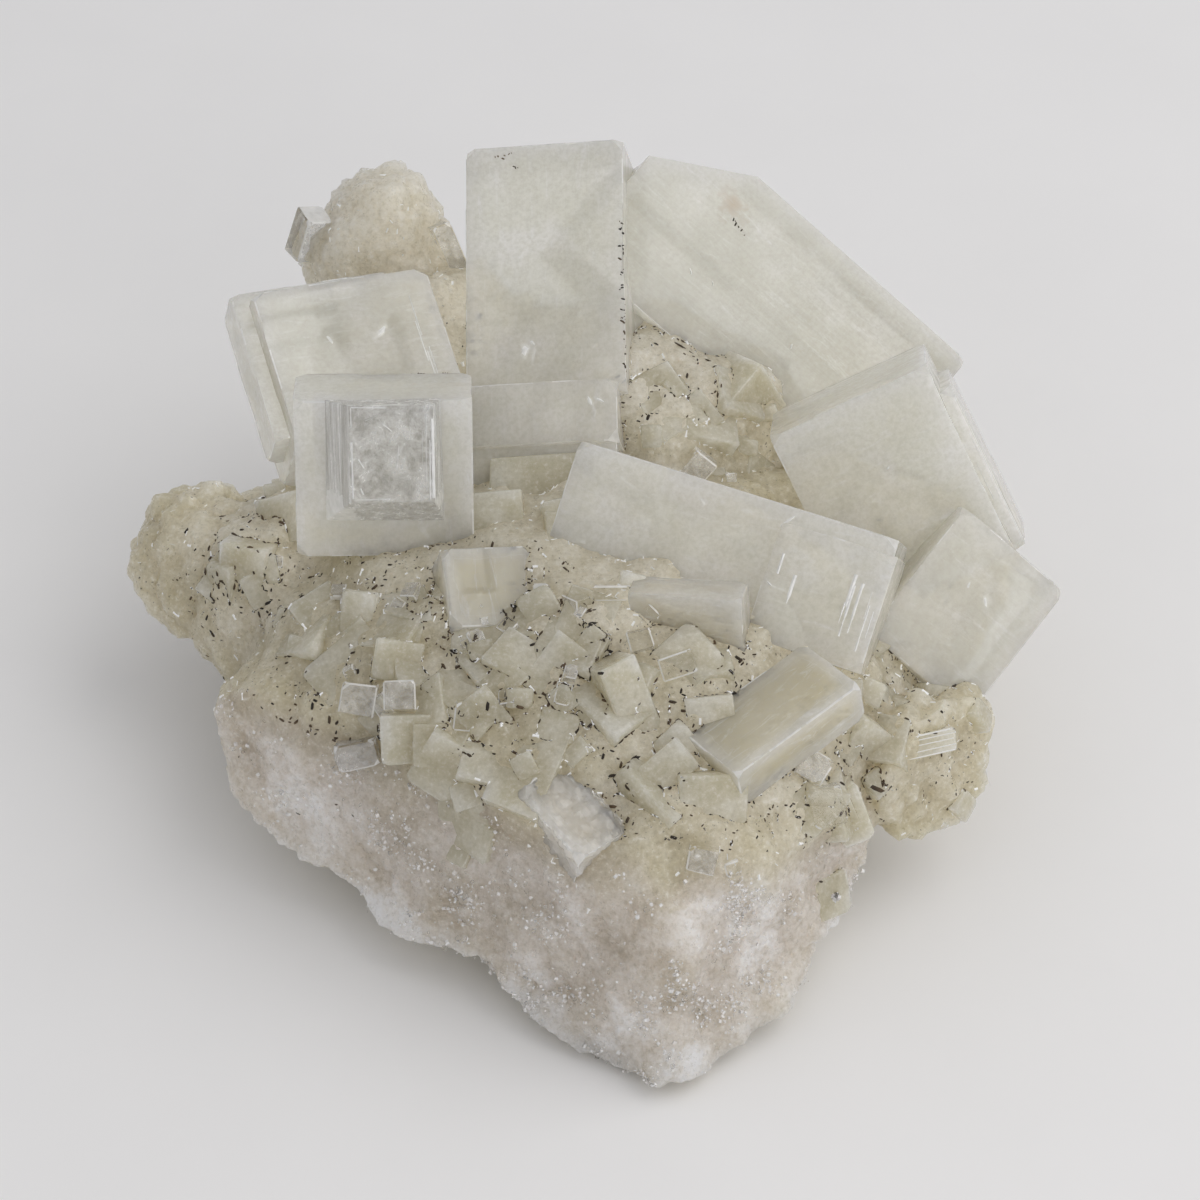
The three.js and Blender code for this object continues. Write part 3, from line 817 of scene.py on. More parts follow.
# Each crystal's blocks: the first one's middle, its heading, lean and spin, and its size; the
# others' offsets in the first one's frame. A facet is a corner cut off further than the rest:
# which corner, and its reach along each side, None where it runs along that side.
LARGE_CRYSTALS = {
    "tall_centre_crystal": [
        dict(at=(-3.6, 26, 28.8), turn=(91, 59, 81), size=(12.5, 9, 20.4)),
        dict(offset=(1.1, 1.5, -12), size=(13.5, 8, 5)),
        dict(offset=(0.8, 0.9, -15.5), size=(12.6, 8, 5)),
    ],
    "back_right_crystal": [
        dict(at=(12.4, 28, 24.1), turn=(-26, 123, 116), size=(14.8, 9, 30),
             facets=[((1, 1, -1), (4.8, None, 7.9))]),
        dict(offset=(-1.4, -0.8, 1), size=(14.8, 7.4, 20)),
    ],
    "right_upper_crystal": [
        dict(at=(22.4, 10.8, 22.2), turn=(10, 65, 147), size=(15.8, 9, 13)),
        dict(offset=(-1.5, -0.6, 0.9), size=(13.6, 8, 13)),
    ],
    "right_lower_crystal": [
        dict(at=(26.6, 3, 16.1), turn=(-21, 126, 127), size=(12, 9, 10.3)),
    ],
    "long_front_right_crystal": [
        dict(at=(9.3, 1.9, 22.4), turn=(-20, 95, 132), size=(10.2, 8, 25)),
        dict(offset=(-0.6, 0.5, 8.3), size=(9, 8, 9)),
    ],
    "left_front_crystal": [
        dict(at=(-16.2, 8.1, 26.4), turn=(90, 24, 92), size=(13.3, 7, 12.2)),
    ],
    "left_back_crystal": [
        dict(at=(-19, 17.7, 26.6), turn=(-159, 84, 69), size=(13, 8, 14)),
        dict(offset=(-1.2, 0.2, 1.7), size=(13, 4, 13)),
    ],
    "front_right_crystal": [
        dict(at=(12.6, -12.5, 19.8), turn=(39, 82, 84), size=(6.3, 3.5, 11.8)),
    ],
    "slab_crystal": [
        dict(at=(6.6, -5, 23.4), turn=(-12, 83, 169), size=(4.9, 2.6, 8.5)),
    ],
    "rounded_crystal": [
        dict(at=tuple(ROUNDED_AT), turn=(99, 70, 101), size=(7.1, 6, 6.5)),
    ],
    "front_corner_crystal": [
        dict(at=(-2.2, -19.2, 16.2), turn=(-49, 103, 92), size=(4.7, 5, 7.1)),
    ],
}
# The cube's flare is how much wider its back is than its front, on each of its four sides.
CLEAR_CUBE = dict(at=(-15.2, 5.2, 31.2), turn=(91, 27, 90), size=(6.2, 6, 7.4), flare=(0.6, 3, 3.6, -1))
FORWARD_SIDE = 0.75  # a face of the clear cube is its front where it faces forward more than this
SUGARY = "front_corner_crystal"  # crusted over with fine prehnite
CLEARNESS = {
    "left_front_crystal": 0.4, "right_upper_crystal": 0.4, "long_front_right_crystal": 0.4,
    "front_right_crystal": 0.42, "front_corner_crystal": 0.35,
}
MOST_CLEARNESS = 0.48
# The whiter BRIGHT tones lift crystals that stand more in shade: painted light.
TONES = {
    "tall_centre_crystal": BRIGHT, "right_upper_crystal": BRIGHT, "left_front_crystal": BRIGHT,
    "long_front_right_crystal": BRIGHT, "slab_crystal": GREENISH, "front_corner_crystal": LILAC,
    "front_right_crystal": MOSSY, "rounded_crystal": MOSSY,
}
# The heights of the root's painted see-through green where they differ; below the floor, none of it is
# seen.
ROOTS = {
    "tall_centre_crystal": (-0.02, -0.01), "front_corner_crystal": (-0.02, -0.01),
    "right_lower_crystal": (-0.02, -0.01), "left_front_crystal": (0.018, 0.03),
    "front_right_crystal": (0.018, 0.034), "rounded_crystal": (0.02, 0.034),
    "slab_crystal": (0.0, 0.01),
}
TERRACES = 3  # low growth steps on each face
RUSTY = "back_right_crystal"
RUST_AT = Vector((10.4, 30.9, 33))


def placed(at, turn):
    """The frame of a block, from its middle and its heading, lean and spin."""
    heading, lean, spin = (math.radians(a) for a in turn)
    rotation = (Matrix.Rotation(heading, 4, "Z") @ Matrix.Rotation(lean, 4, "Y")
                @ Matrix.Rotation(spin, 4, "Z"))
    return Matrix.Translation(at) @ rotation


def crystal_frame(name):
    first = LARGE_CRYSTALS[name][0]
    return placed(first["at"], first["turn"])


def block_grid(size, cell, edge, relief, flare):
    """A block with rounded edges on a grid of `cell`, its faces lifted by relief(axis, sign,
    places on the face, half the face's size) and its sides flared out toward its back."""
    half = np.array(size) / 2
    lines = []
    for h in half:
        inner = np.linspace(edge - h, h - edge, max(2, round((2 * h - 2 * edge) / cell)) + 1)
        lines.append(np.concatenate([[-h, -h + 0.4 * edge], inner, [h - 0.4 * edge, h]]))
    counts = [len(line) for line in lines]
    number = -np.ones(counts, int)
    inside = np.zeros(counts, bool)
    inside[1:-1, 1:-1, 1:-1] = True
    where = np.argwhere(~inside)
    number[tuple(where.T)] = np.arange(len(where))
    lattice = np.stack([lines[a][where[:, a]] for a in range(3)], 1)
    core = np.clip(lattice, edge - half, half - edge)
    out = lattice - core
    out /= np.linalg.norm(out, axis=1)[:, None]
    points = core + edge * out
    lift = np.zeros_like(points)
    for axis in range(3):
        across = [a for a in range(3) if a != axis]
        for sign in (-1, 1):
            faces_it = out[:, axis] * sign > 0.3
            height = relief(axis, sign, points[faces_it][:, across], half[across])
            lift[faces_it, axis] += out[faces_it, axis] * height
    points = points + lift
    back = (half[1] - points[:, 1]) / size[1]
    for axis, (low_flare, high_flare) in ((0, flare[:2]), (2, flare[2:])):
        widen = np.where(points[:, axis] < 0, low_flare, high_flare) / half[axis]
        points[:, axis] *= 1 + widen * back
    faces = []
    for axis in range(3):
        for end in (0, counts[axis] - 1):
            grid = np.take(number, end, axis=axis)
            corners = np.stack([grid[:-1, :-1], grid[1:, :-1], grid[1:, 1:], grid[:-1, 1:]], -1)
            corners = corners.reshape(-1, 4)
            flip = (end == 0) != (axis == 1)
            faces += (corners[:, ::-1] if flip else corners).tolist()
    return points, faces


def face_relief(rng, steps, groove, chip):
    """A growth relief for one block: broad low terraces, grooves along the axis, chipped edges."""
    terraces = {}
    for side in itertools.product(range(3), (-1, 1)):
        terraces[side] = [(rng.uniform(-1, 1, 2), rng.uniform(0.25, 0.9, 2), rng.uniform(0.03, 0.11))
                          for _ in range(steps)]
    seed = int(rng.integers(1, 999))

    def relief(axis, sign, places, half):
        u, v = places.T
        height = np.zeros(len(places))
        for corner, reach, rise in terraces[axis, sign]:
            inside = np.minimum(reach[0] * half[0] - np.abs(u - corner[0] * half[0]),
                                reach[1] * half[1] - np.abs(v - corner[1] * half[1]))
            height -= rise * smooth_step(-0.05, 0.25, inside)
        spread = np.stack([u, v, np.full(len(u), 31.0 * axis + 11 * sign)], 1)
        if axis != 2:
            lined = spread * np.array([1.0, 0.06, 1.0])
            height += groove * cloud(lined, 0.8, seed) + 0.7 * groove * cloud(lined, 2.1, seed + 1)
        else:
            height += groove * cloud(spread, 1.1, seed + 2)
        edge_gap = np.minimum(half[0] - np.abs(u), half[1] - np.abs(v))
        worn = smooth_step(0.35, 0.8, cloud(spread, 1.6, seed + 3))
        height -= chip * worn * smooth_step(0.9, 0.0, edge_gap)
        return height

    return relief


def cut_corners(mesh, size, facets=()):
    """Cuts a block's corners off along the pyramid facets."""
    half = np.array(size) / 2
    side = min(CORNER_CUT, min(size) * CORNER_SHARE)
    plain = (side, side, side * PYRAMID_STEEPNESS)
    body = bmesh.new()
    body.from_mesh(mesh)
    cuts = [(signs, plain) for signs in itertools.product((-1, 1), repeat=3)] + list(facets)
    for signs, reach in cuts:
        signs = np.array(signs)
        slope = signs * np.array([0 if r is None else 1 / r for r in reach])
        axis = next(a for a in range(3) if reach[a] is not None)
        on_it = signs * half
        on_it[axis] -= signs[axis] * reach[axis]
        cut = bmesh.ops.bisect_plane(
            body, geom=body.verts[:] + body.edges[:] + body.faces[:], dist=1e-4,
            plane_co=on_it, plane_no=slope / np.linalg.norm(slope), clear_outer=True)
        rim = [e for e in cut["geom_cut"] if isinstance(e, bmesh.types.BMEdge)]
        if rim:
            bmesh.ops.holes_fill(body, edges=rim)
    bmesh.ops.triangulate(body, faces=[f for f in body.faces if len(f.verts) > 4])
    body.to_mesh(mesh)
    body.free()


def block_mesh(block, rng, cell, steps, groove, chip, edge=0.12):
    """One block of a crystal in its own frame, its edges frosted white where they are worn, partly
    painted highlights along them.
    """
    size = block["size"]
    relief = face_relief(rng, steps, groove, chip)
    points, faces = block_grid(size, cell, edge, relief, block.get("flare", (0, 0, 0, 0)))
    mesh = mesh_of("block", points, faces)
    mesh.materials.append(None)
    mesh.materials.append(None)
    middles = np.array([f.center for f in mesh.polygons])
    in_from_sides = np.array(size) / 2 - np.abs(middles)
    on_edge = (in_from_sides < edge).sum(axis=1) >= 2
    worn = on_edge & (cloud(middles, 1.3, int(size[0] * 10)) > WORN_ABOVE)
    mesh.polygons.foreach_set("material_index", worn.astype(np.int32))
    if "flare" not in block:
        cut_corners(mesh, size, block.get("facets", ()))
    return mesh


def grown_crystal(blocks, rng, cell, groove, chip):
    """One crystal of one or more blocks grown together, with each point's place in the first
    block's frame and its distance from the nearest edge written on it."""
    meshes = []
    for block in blocks:
        mesh = block_mesh(block, rng, cell, TERRACES, groove, chip)
        mesh.transform(Matrix.Translation(block.get("offset", (0, 0, 0))))
        meshes.append(mesh)
    whole = fused(meshes) if len(meshes) > 1 else meshes[0]
    points = coordinates(whole)
    mark(whole, "growth_mm", points)
    gaps = []
    for block in blocks:
        from_middle = np.abs(points - block.get("offset", (0, 0, 0)))
        in_from_sides = np.abs(np.array(block["size"]) / 2 - from_middle)
        gaps.append(np.sort(in_from_sides, axis=1)[:, 1])
    mark(whole, "edge_mm", np.min(gaps, axis=0))
    whole.transform(placed(blocks[0]["at"], blocks[0]["turn"]))
    shade_by_angle(whole, CRYSTAL_EDGES)
    return whole


def sugared_crystal(blocks, rng):
    """A crystal crusted over with fine prehnite."""
    mesh = grown_crystal(blocks, rng, cell=0.16, groove=0.03, chip=0.3)
    points, normals = coordinates(mesh), normals_of(mesh)
    coarse, fine = crystal_crust(points, 1.1, 11) - 0.25, crystal_crust(points, 0.5, 12) - 0.2
    move_points(mesh, points + normals * (0.55 * coarse + 0.3 * fine)[:, None])
    shade_by_angle(mesh, CRYSTAL_EDGES)
    return mesh


# White of frosted apophyllite, also used for painted highlights on edges, rims, steps and chips.
FROST_AND_HIGHLIGHT = frosted_apophyllite("frosted_edges_and_painted_highlights", "ECECEA", 0.4)


def large_crystals():
    """Makes each large crystal a piece of its own, and returns the skins of them all."""
    skins = Scatter()
    for number, (name, blocks) in enumerate(LARGE_CRYSTALS.items()):
        rng = np.random.default_rng(100 + number)
        cell = 0.3 if max(blocks[0]["size"]) < 9 else 0.5
        if name == SUGARY:
            mesh = sugared_crystal(blocks, rng)
        else:
            mesh = grown_crystal(blocks, rng, cell, groove=0.012, chip=0.05)
        skins.add([tuple(v.co) for v in mesh.vertices], [f.vertices for f in mesh.polygons])
        stain = tuple(crystal_frame(name).inverted() @ RUST_AT) if name == RUSTY else None
        skin = milky_apophyllite("milky_grown_apophyllite_" + name, TONES.get(name, PALE),
                                 CLEARNESS.get(name, MOST_CLEARNESS), number,
                                 ROOTS.get(name, MOST_ROOTS), stain)
        finished(name + "_grown", mesh, [skin, FROST_AND_HIGHLIGHT], [name], passes_light=True)
    return BVHTree.FromPolygons(skins.corners, skins.faces)


CRYSTAL_SKINS = large_crystals()

FLAKE_CORNERS = 9
FLAKE_THICKNESS = 0.03
# A flake's upper corners are numbered round from 0, and its lower ones from FLAKE_CORNERS.
FLAKE_FACES = [
    tuple(range(FLAKE_CORNERS)), tuple(reversed(range(FLAKE_CORNERS, 2 * FLAKE_CORNERS))),
    *(((k + 1) % FLAKE_CORNERS, k, FLAKE_CORNERS + k, FLAKE_CORNERS + (k + 1) % FLAKE_CORNERS)
      for k in range(FLAKE_CORNERS)),
]


def flake_ring(half, axis, sign, rng):
    """The ragged outline of a flake just under one of a block's prism faces."""
    middle = rng.uniform(-0.75, 0.75, 3) * half
    middle[axis] = sign * (half[axis] - rng.uniform(0.25, 1.2))
    long_side, short_side = rng.uniform(0.2, 1.3), rng.uniform(0.05, 0.22)
    tilt = rng.normal(0, 0.25)
    ring = []
    for k in range(FLAKE_CORNERS):
        angle = 2 * math.pi * k / FLAKE_CORNERS
        reach = rng.uniform(0.55, 1.0)
        place = middle.copy()
        place[2] += reach * long_side * math.cos(angle)
        place[1 - axis] += reach * short_side * math.sin(angle) + tilt * math.cos(angle)
        place[axis] += rng.uniform(-0.05, 0.05)
        ring.append(place)
    return ring


def stands_out(place):
    """Whether a place is outside the crystals' skins, or all but at them."""
    at, normal, _, _ = CRYSTAL_SKINS.find_nearest(place)
    return (place - at).dot(normal) > -0.04


def veil_flakes(rng):
    """Thin ragged flakes in the milky crystals: healed cracks that scatter the light. None of
    them stands out where a corner of the crystal is cut off."""
    flakes = Scatter()
    for name, blocks in LARGE_CRYSTALS.items():
        half = np.array(blocks[0]["size"]) / 2
        frame_at = crystal_frame(name)
        for _ in range(int(10 + 2 * half.max())):
            axis, sign = rng.choice([0, 1]), rng.choice([-1, 1])
            ring = flake_ring(half, axis, sign, rng)
            if any(stands_out(frame_at @ Vector(place)) for place in ring):
                continue
            inward = np.zeros(3)
            inward[axis] = -sign * FLAKE_THICKNESS
            flakes.add([frame_at @ Vector(p) for p in ring + [p + inward for p in ring]],
                       FLAKE_FACES)
    return flakes.mesh("veils")


finished("healed_crack_veils", veil_flakes(np.random.default_rng(41)),
         [frosted_apophyllite("healed_crack_veil_in_apophyllite", "F0F0EE", 0.5)],
         passes_light=True)


def clear_cube():
    """The clear cube on the left front crystal: a flawed front, striated sides, frosted edges."""
    rng = np.random.default_rng(77)
    cube = block_mesh(CLEAR_CUBE, rng, cell=0.25, steps=0, groove=0.03, chip=0.1)
    for face in cube.polygons:
        if face.normal.y > FORWARD_SIDE:
            face.material_index = 0
        elif face.material_index != 1:
            face.material_index = 2
    mark(cube, "growth_mm", coordinates(cube))
    cube.transform(placed(CLEAR_CUBE["at"], CLEAR_CUBE["turn"]))
    shade_by_angle(cube, CRYSTAL_EDGES)
    return cube


finished("left_front_crystal_clear_cube", clear_cube(),
         [flawed_apophyllite("flawed_front_of_clear_cube", (0.6, 0.6, 0.6), 0.6), FROST_AND_HIGHLIGHT,
          flawed_apophyllite("striated_sides_of_clear_cube", (1.5, 1.5, 0.13), 0.45)],
         passes_light=True)

# Ends where growth layers are drawn as white lines, partly painted highlights: crystal, which
# block, and at which z of it from and to, in the block's own frame.
STEPPED_ENDS = [
    ("long_front_right_crystal", 1, 1.6, 4.2, 7), ("right_upper_crystal", 1, 4.2, 6.3, 6),
    ("long_front_right_crystal", 1, -3.6, -2.2, 2), ("left_back_crystal", 0, -6.6, -4.4, 4),
]
# Fresh cleavage chips on faces, white and partly painted glints: place, length, width and turn.
CLEAVAGE_CHIPS = [
    ((-5.8, 18.2, 29), 1.6, 0.9, 30), ((-5.2, 18.6, 29.4), 0.8, 0.5, 80),
    ((-0.8, 13.3, 28.2), 1.5, 0.5, 70), ((0, 13.3, 28.2), 1.2, 0.35, 100),
    ((13.9, 0.6, 27.7), 1.8, 0.5, -20), ((12.3, -3.4, 25.2), 0.9, 0.3, 75),
    ((21.6, 7, 26.6), 0.6, 0.3, 0), ((29, 0.4, 19.4), 1.6, 0.5, 40),
    ((27.6, 1.4, 20.2), 0.9, 0.3, 10), ((7.5, 25.2, 31.4), 1.2, 0.25, 60),
    ((9.4, 24.4, 31), 0.8, 0.2, 50), ((-16.5, 18.4, 31.4), 1.8, 0.7, 20),
    ((-20.6, 17.2, 30.5), 1.2, 0.4, 80), ((16, 20.8, 28), 0.9, 0.2, 30),
]
TOWARD_FRONT = Vector((0, -1, 1))
# Bright growth lines and cracks on the front of the clear cube, in its own frame: sideways and
# along it from and to, and width.
CUBE_LINES = [
    ((-2.95, -3.4), (-2.95, 2.6), 0.26), ((-2.7, -3.5), (-2.75, 1.0), 0.16),
    ((-2.45, -2.9), (-2.5, 2.9), 0.12), ((-2.2, -1.5), (-2.22, 1.7), 0.08),
    ((2.95, -3.4), (2.95, 0.9), 0.16), ((2.95, 2.0), (2.95, 3.5), 0.12),
    ((2.9, 3.5), (0.4, 3.45), 0.14), ((-0.3, -1.2), (-0.5, 0.7), 0.12),
    ((2.7, -3.5), (0.2, -3.45), 0.12), ((1.9, 2.5), (1.0, 2.9), 0.1),
    ((0.6, 2.2), (0.0, 1.7), 0.16), ((2.5, -0.4), (2.1, -1.1), 0.2),
    ((2.4, -2.6), (2.2, -3.1), 0.2), ((0.9, 2.6), (0.5, 2.0), 0.08),
]


# A low ridge's corners: left, right and crest of its start, then of its end.
BAR_FACES = [(0, 1, 2), (3, 5, 4), (0, 3, 4, 1), (1, 4, 5, 2), (2, 5, 3, 0)]
BURIED = 0.05  # how deep the foot of a ridge or a chip is sunk
CHIP_CORNERS = 11
CHIP_FACES = [(k, (k + 1) % CHIP_CORNERS, CHIP_CORNERS) for k in range(CHIP_CORNERS)]
CHIP_FACES.append(tuple(reversed(range(CHIP_CORNERS))))


def thin_bar(bars, start, end, normal, width, height):
    """Adds a low ridge with a sharp crest from start to end."""
    across = normal.cross(end - start).normalized() * width / 2
    corners = []
    for place in (start, end):
        corners += [place - across - normal * BURIED, place + across - normal * BURIED,
                    place + normal * height]
    bars.add(corners, BAR_FACES)


def growth_steps(marks, rng):
    """Adds white lines, partly painted highlights, across the front face of each stepped end."""
    for name, which, z_from, z_to, count in STEPPED_ENDS:
        block = LARGE_CRYSTALS[name][which]
        to_design = crystal_frame(name) @ Matrix.Translation(block.get("offset", (0, 0, 0)))
        turn = to_design.to_3x3()
        half = np.array(block["size"]) / 2
        axis, sign = max(itertools.product((0, 1), (-1, 1)),
                         key=lambda side: side[1] * (turn.col[side[0]] @ TOWARD_FRONT))
        for _ in range(count):
            z = rng.uniform(z_from, z_to)
            middle = rng.uniform(-0.5, 0.5) * half[1 - axis]
            reach = rng.uniform(0.15, 0.45) * half[1 - axis]
            ends = []
            for across in (middle - reach, middle + reach):
                place = Vector((0, 0, z))
                place[axis] = sign * half[axis]
                place[1 - axis] = across
                ends.append(to_design @ place)
            normal = (turn.col[axis] * sign).normalized()
            thin_bar(marks, *ends, normal, rng.uniform(0.1, 0.3), 0.03)


def cleavage_chips(marks, rng):
    """Adds low uneven cones for the fresh chips, white and partly painted glints."""
    for at, length, width, turn in CLEAVAGE_CHIPS:
        place, normal, _, _ = CRYSTAL_SKINS.find_nearest(at)
        side = Matrix.Rotation(math.radians(turn), 3, normal) @ normal.orthogonal().normalized()
        up = normal.cross(side)
        ring = [place + side * length / 2 * math.cos(angle) * rng.uniform(0.6, 1.1)
                + up * width / 2 * math.sin(angle) * rng.uniform(0.6, 1.2)
                for angle in np.arange(CHIP_CORNERS) * 2 * math.pi / CHIP_CORNERS]
        marks.add([p - normal * BURIED for p in ring] + [place + normal * 0.07], CHIP_FACES)


def bright_marks(rng):
    """The white growth steps, lines and cleavage chips of the large crystals; the steps and chips are
    partly painted highlights.
    """
    marks = Scatter()
    growth_steps(marks, rng)
    cube_frame = placed(CLEAR_CUBE["at"], CLEAR_CUBE["turn"])
    front = CLEAR_CUBE["size"][1] / 2
    for start, end, width in CUBE_LINES:
        ends = [cube_frame @ Vector((x, front, z)) for x, z in (start, end)]
        thin_bar(marks, *ends, cube_frame.to_3x3().col[1].normalized(), width, 0.06)
    cleavage_chips(marks, rng)
    return marks.mesh("bright_marks")


finished("growth_steps_and_chips_with_painted_highlights", bright_marks(np.random.default_rng(51)), [FROST_AND_HIGHLIGHT],
         passes_light=True)

# ---------------------------------------------------------------- small crystals

# Where each sits on the plan, its face's width and height, depth, azimuth, rise and roll.
SMALL_CRYSTALS = [
    # left front terrace
    (-17.5, -9.8, 2.6, 2.4, 3, -95, 40, -5), (-14.6, -10.4, 2.4, 2.3, 3, -85, 50, 0),
    (-14, -13.2, 3.9, 3.6, 3, -90, 35, 3), (-17.6, -12, 3.4, 2, 2.5, -100, 30, 20),
    (-18, -2.6, 2.5, 3.5, 3, -95, 45, -3), (-14.8, -7.8, 3.6, 3.1, 3, -80, 45, -15),
    (-9.7, -12.8, 1.6, 2.1, 2, -90, 40, -5), (-9.6, -16.6, 2.4, 2, 2, -100, 45, 25),
    (-25, 4.2, 1.1, 2.2, 1.6, -100, 50, 20), (-22.5, -3.5, 1.8, 1.6, 1.6, -120, 45, 10),
    # left lobe
    (-29.8, 4.9, 2, 1.8, 1.5, -110, 55, -20), (-25.2, 12.4, 1.8, 1.2, 1.5, -90, 50, 10),
    # middle of the bowl between the large crystals
    (-11, 1, 1.2, 1.6, 2, -90, 45, 5), (-4.4, -4.4, 2.8, 2.7, 3, -90, 60, 30),
    (0.9, -3.6, 2.8, 1.1, 2, -90, 40, 0), (2.4, -3, 2.1, 2.1, 2.4, -80, 50, -20),
    (3.6, -5.2, 1.3, 1.3, 2, -90, 45, 45), (5.6, -9.4, 2.7, 1.8, 2, -85, 45, 15),
    (2.2, -12.5, 3, 7, 3.4, -65, 40, 6), (-0.7, -7.6, 1.6, 2.2, 2, -100, 45, -30),
    (2.9, -7.6, 1.8, 1.6, 2, -90, 60, 15), (-2.7, -12.2, 1.8, 2, 2, -95, 50, 40),
    (-5.8, -12, 2, 1.5, 2, -80, 40, -10), (-8.6, -8, 2, 1.5, 2, -90, 55, 15),
    (-5.4, -16.5, 1.7, 1.9, 2, -100, 45, 35),
    # large milky ones between the tall and the long crystal
    (-4.5, 8.2, 8, 5.5, 2.2, -92, 58, 4), (2.2, 7.6, 5.5, 4.2, 2, -84, 56, -14),
    (-8.2, 4.6, 5, 4.5, 1.8, -97, 58, 9),
    # behind the long crystal
    (7.4, 11.6, 2.1, 2.5, 3, -90, 30, -40), (8.1, 15.4, 1.3, 3.2, 1.6, -90, 45, 38),
    (13.2, 17.6, 1.4, 1.3, 1.8, -90, 50, 20), (11.4, 14.4, 1.7, 1.3, 1.8, -80, 50, -15),
    (4, 12.6, 1.6, 1.8, 1.8, -100, 45, 10),
    # front right terrace
    (4.3, -17, 5.2, 2.7, 3, -80, 50, 32), (8, -18.4, 5, 3.6, 3.4, -80, 35, -6),
    (7.3, -22.2, 2.2, 2, 2, -90, 30, -12), (9.4, -22.4, 1.2, 1.2, 1.2, -80, 30, 10),
    (16.4, -16.4, 2.6, 3, 2.4, -85, 40, 8), (15.5, -14.2, 2.3, 2.2, 2.2, -90, 55, -30),
    (20, -7.4, 2, 2, 2, -80, 45, -30), (20.4, -12.4, 1.6, 2, 1.8, -60, 40, 20),
    # right lobe
    (24.2, -10, 4.4, 1.8, 2, -80, 40, 5), (28.4, -6.4, 1.8, 2.4, 2, -20, 30, 10),
    (27.4, -9.6, 2, 2, 2, -40, 20, 25),
    # knob and back
    (-23.1, 31.6, 2.3, 4, 2.4, -150, 20, 0), (-12.2, 30.6, 1.7, 4.4, 2, -60, 30, 8),
    (-18.5, 37, 2.2, 2, 2, 100, 20, 20), (-6, 28, 2.6, 3.2, 2.6, 100, 40, -15),
    (-24, 16.5, 2.4, 2, 2, 150, 45, 30), (28, 13.5, 2.4, 3, 2.4, 40, 35, 10),
]
# Which of them, counted from 0, are clear and stand out more.
CLEAR_ONES = {0, 1, 3, 6, 12, 14, 16, 17, 20, 28, 35, 36, 37, 38, 44, 45}
# Places on the plan where the crust carries many smaller crystals: middle, reach and number.
NESTS = [
    ((-27, 4), 5, 8), ((-20, -4), 6, 12), ((-14, -6), 6, 14), ((-6, -10), 7, 26), ((3, -11), 7, 20),
    ((-9, -15), 5, 10), ((16, -18), 5, 12), ((19.5, -11), 3.5, 6), ((9, 14), 5, 10), ((0, 6), 6, 10),
    ((-11, 16), 4, 5), ((14, -4), 5, 7), ((22, -2), 4, 6),
]
SIDE_CRYSTALS = 44  # and how many are tried for round the back and the sides
GLASSY_SHARE = 0.22  # share of the nested crystals that are clear


def facing_frame(azimuth, rise, roll, at):
    """The frame of a small crystal whose y axis is the way that its face looks."""
    compass, lift = math.radians(azimuth), math.radians(rise)
    level = Vector((math.cos(compass), math.sin(compass), 0))
    facing = level * math.cos(lift) + Vector((0, 0, math.sin(lift)))
    up = Vector((0, 0, math.cos(lift))) - level * math.sin(lift)
    up = Matrix.Rotation(math.radians(roll), 3, facing) @ up
    side = facing.cross(up)
    return Matrix.Translation(at) @ Matrix((side, facing, up)).transposed().to_4x4()


def small_block(size, rng, edge, clear):
    """A small crystal: a cube with chipped corners and worn edges. Some sides of a clear one are
    frosted or flawed."""
    body = bmesh.new()
    bmesh.ops.create_cube(body, size=1)
    for corner in body.verts:
        corner.co = Vector(c * s * rng.uniform(0.93, 1.04) for c, s in zip(corner.co, size))
    chipped = [v for v in body.verts if rng.random() < 0.45]
    if chipped:
        bmesh.ops.bevel(body, geom=chipped, offset=min(size) * rng.uniform(0.12, 0.26), segments=1,
                        profile=0.5, affect="VERTICES")
    if clear:
        for face in body.faces:
            face.material_index = int(rng.choice([0, 1, 2], p=[0.4, 0.12, 0.48]))
    # Frosted rims, partly wear and partly painted highlights along the edges.
    rims = bmesh.ops.bevel(body, geom=body.edges[:], offset=edge, segments=1, profile=0.5, affect="EDGES")
    for face in rims["faces"]:
        face.material_index = int(rng.random() < 0.55)
    mesh = bpy.data.meshes.new("small")
    body.to_mesh(mesh)
    body.free()
    mark(mesh, "growth_mm", coordinates(mesh) + rng.uniform(0, 50, 3))
    return mesh


def nested_block(point, normal, rng):
    """One of the smaller crystals and whether it is clear: milky and sunk, or glassy and
    standing out."""
    glassy = rng.random() < GLASSY_SHARE
    side = rng.uniform(0.6, 1.4) if glassy else rng.uniform(1.4, 4.6)
    size = (side, side * rng.uniform(0.7, 1.2), side * rng.uniform(0.8, 1.5))
    facing = (normal + 0.2 * Vector(rng.normal(0, 1, 3))).normalized()
    azimuth = math.degrees(math.atan2(facing.y, facing.x))
    rise = math.degrees(math.asin(facing.z))
    stands = rng.uniform(0.3, 0.7) if glassy else rng.uniform(0.0, 0.17)
    mesh = small_block(size, rng, 0.08, glassy)
    mesh.transform(facing_frame(azimuth, rise, rng.uniform(-45, 45), point)
                   @ Matrix.Translation((0, stands - size[1] / 2, 0)))
    return mesh, glassy


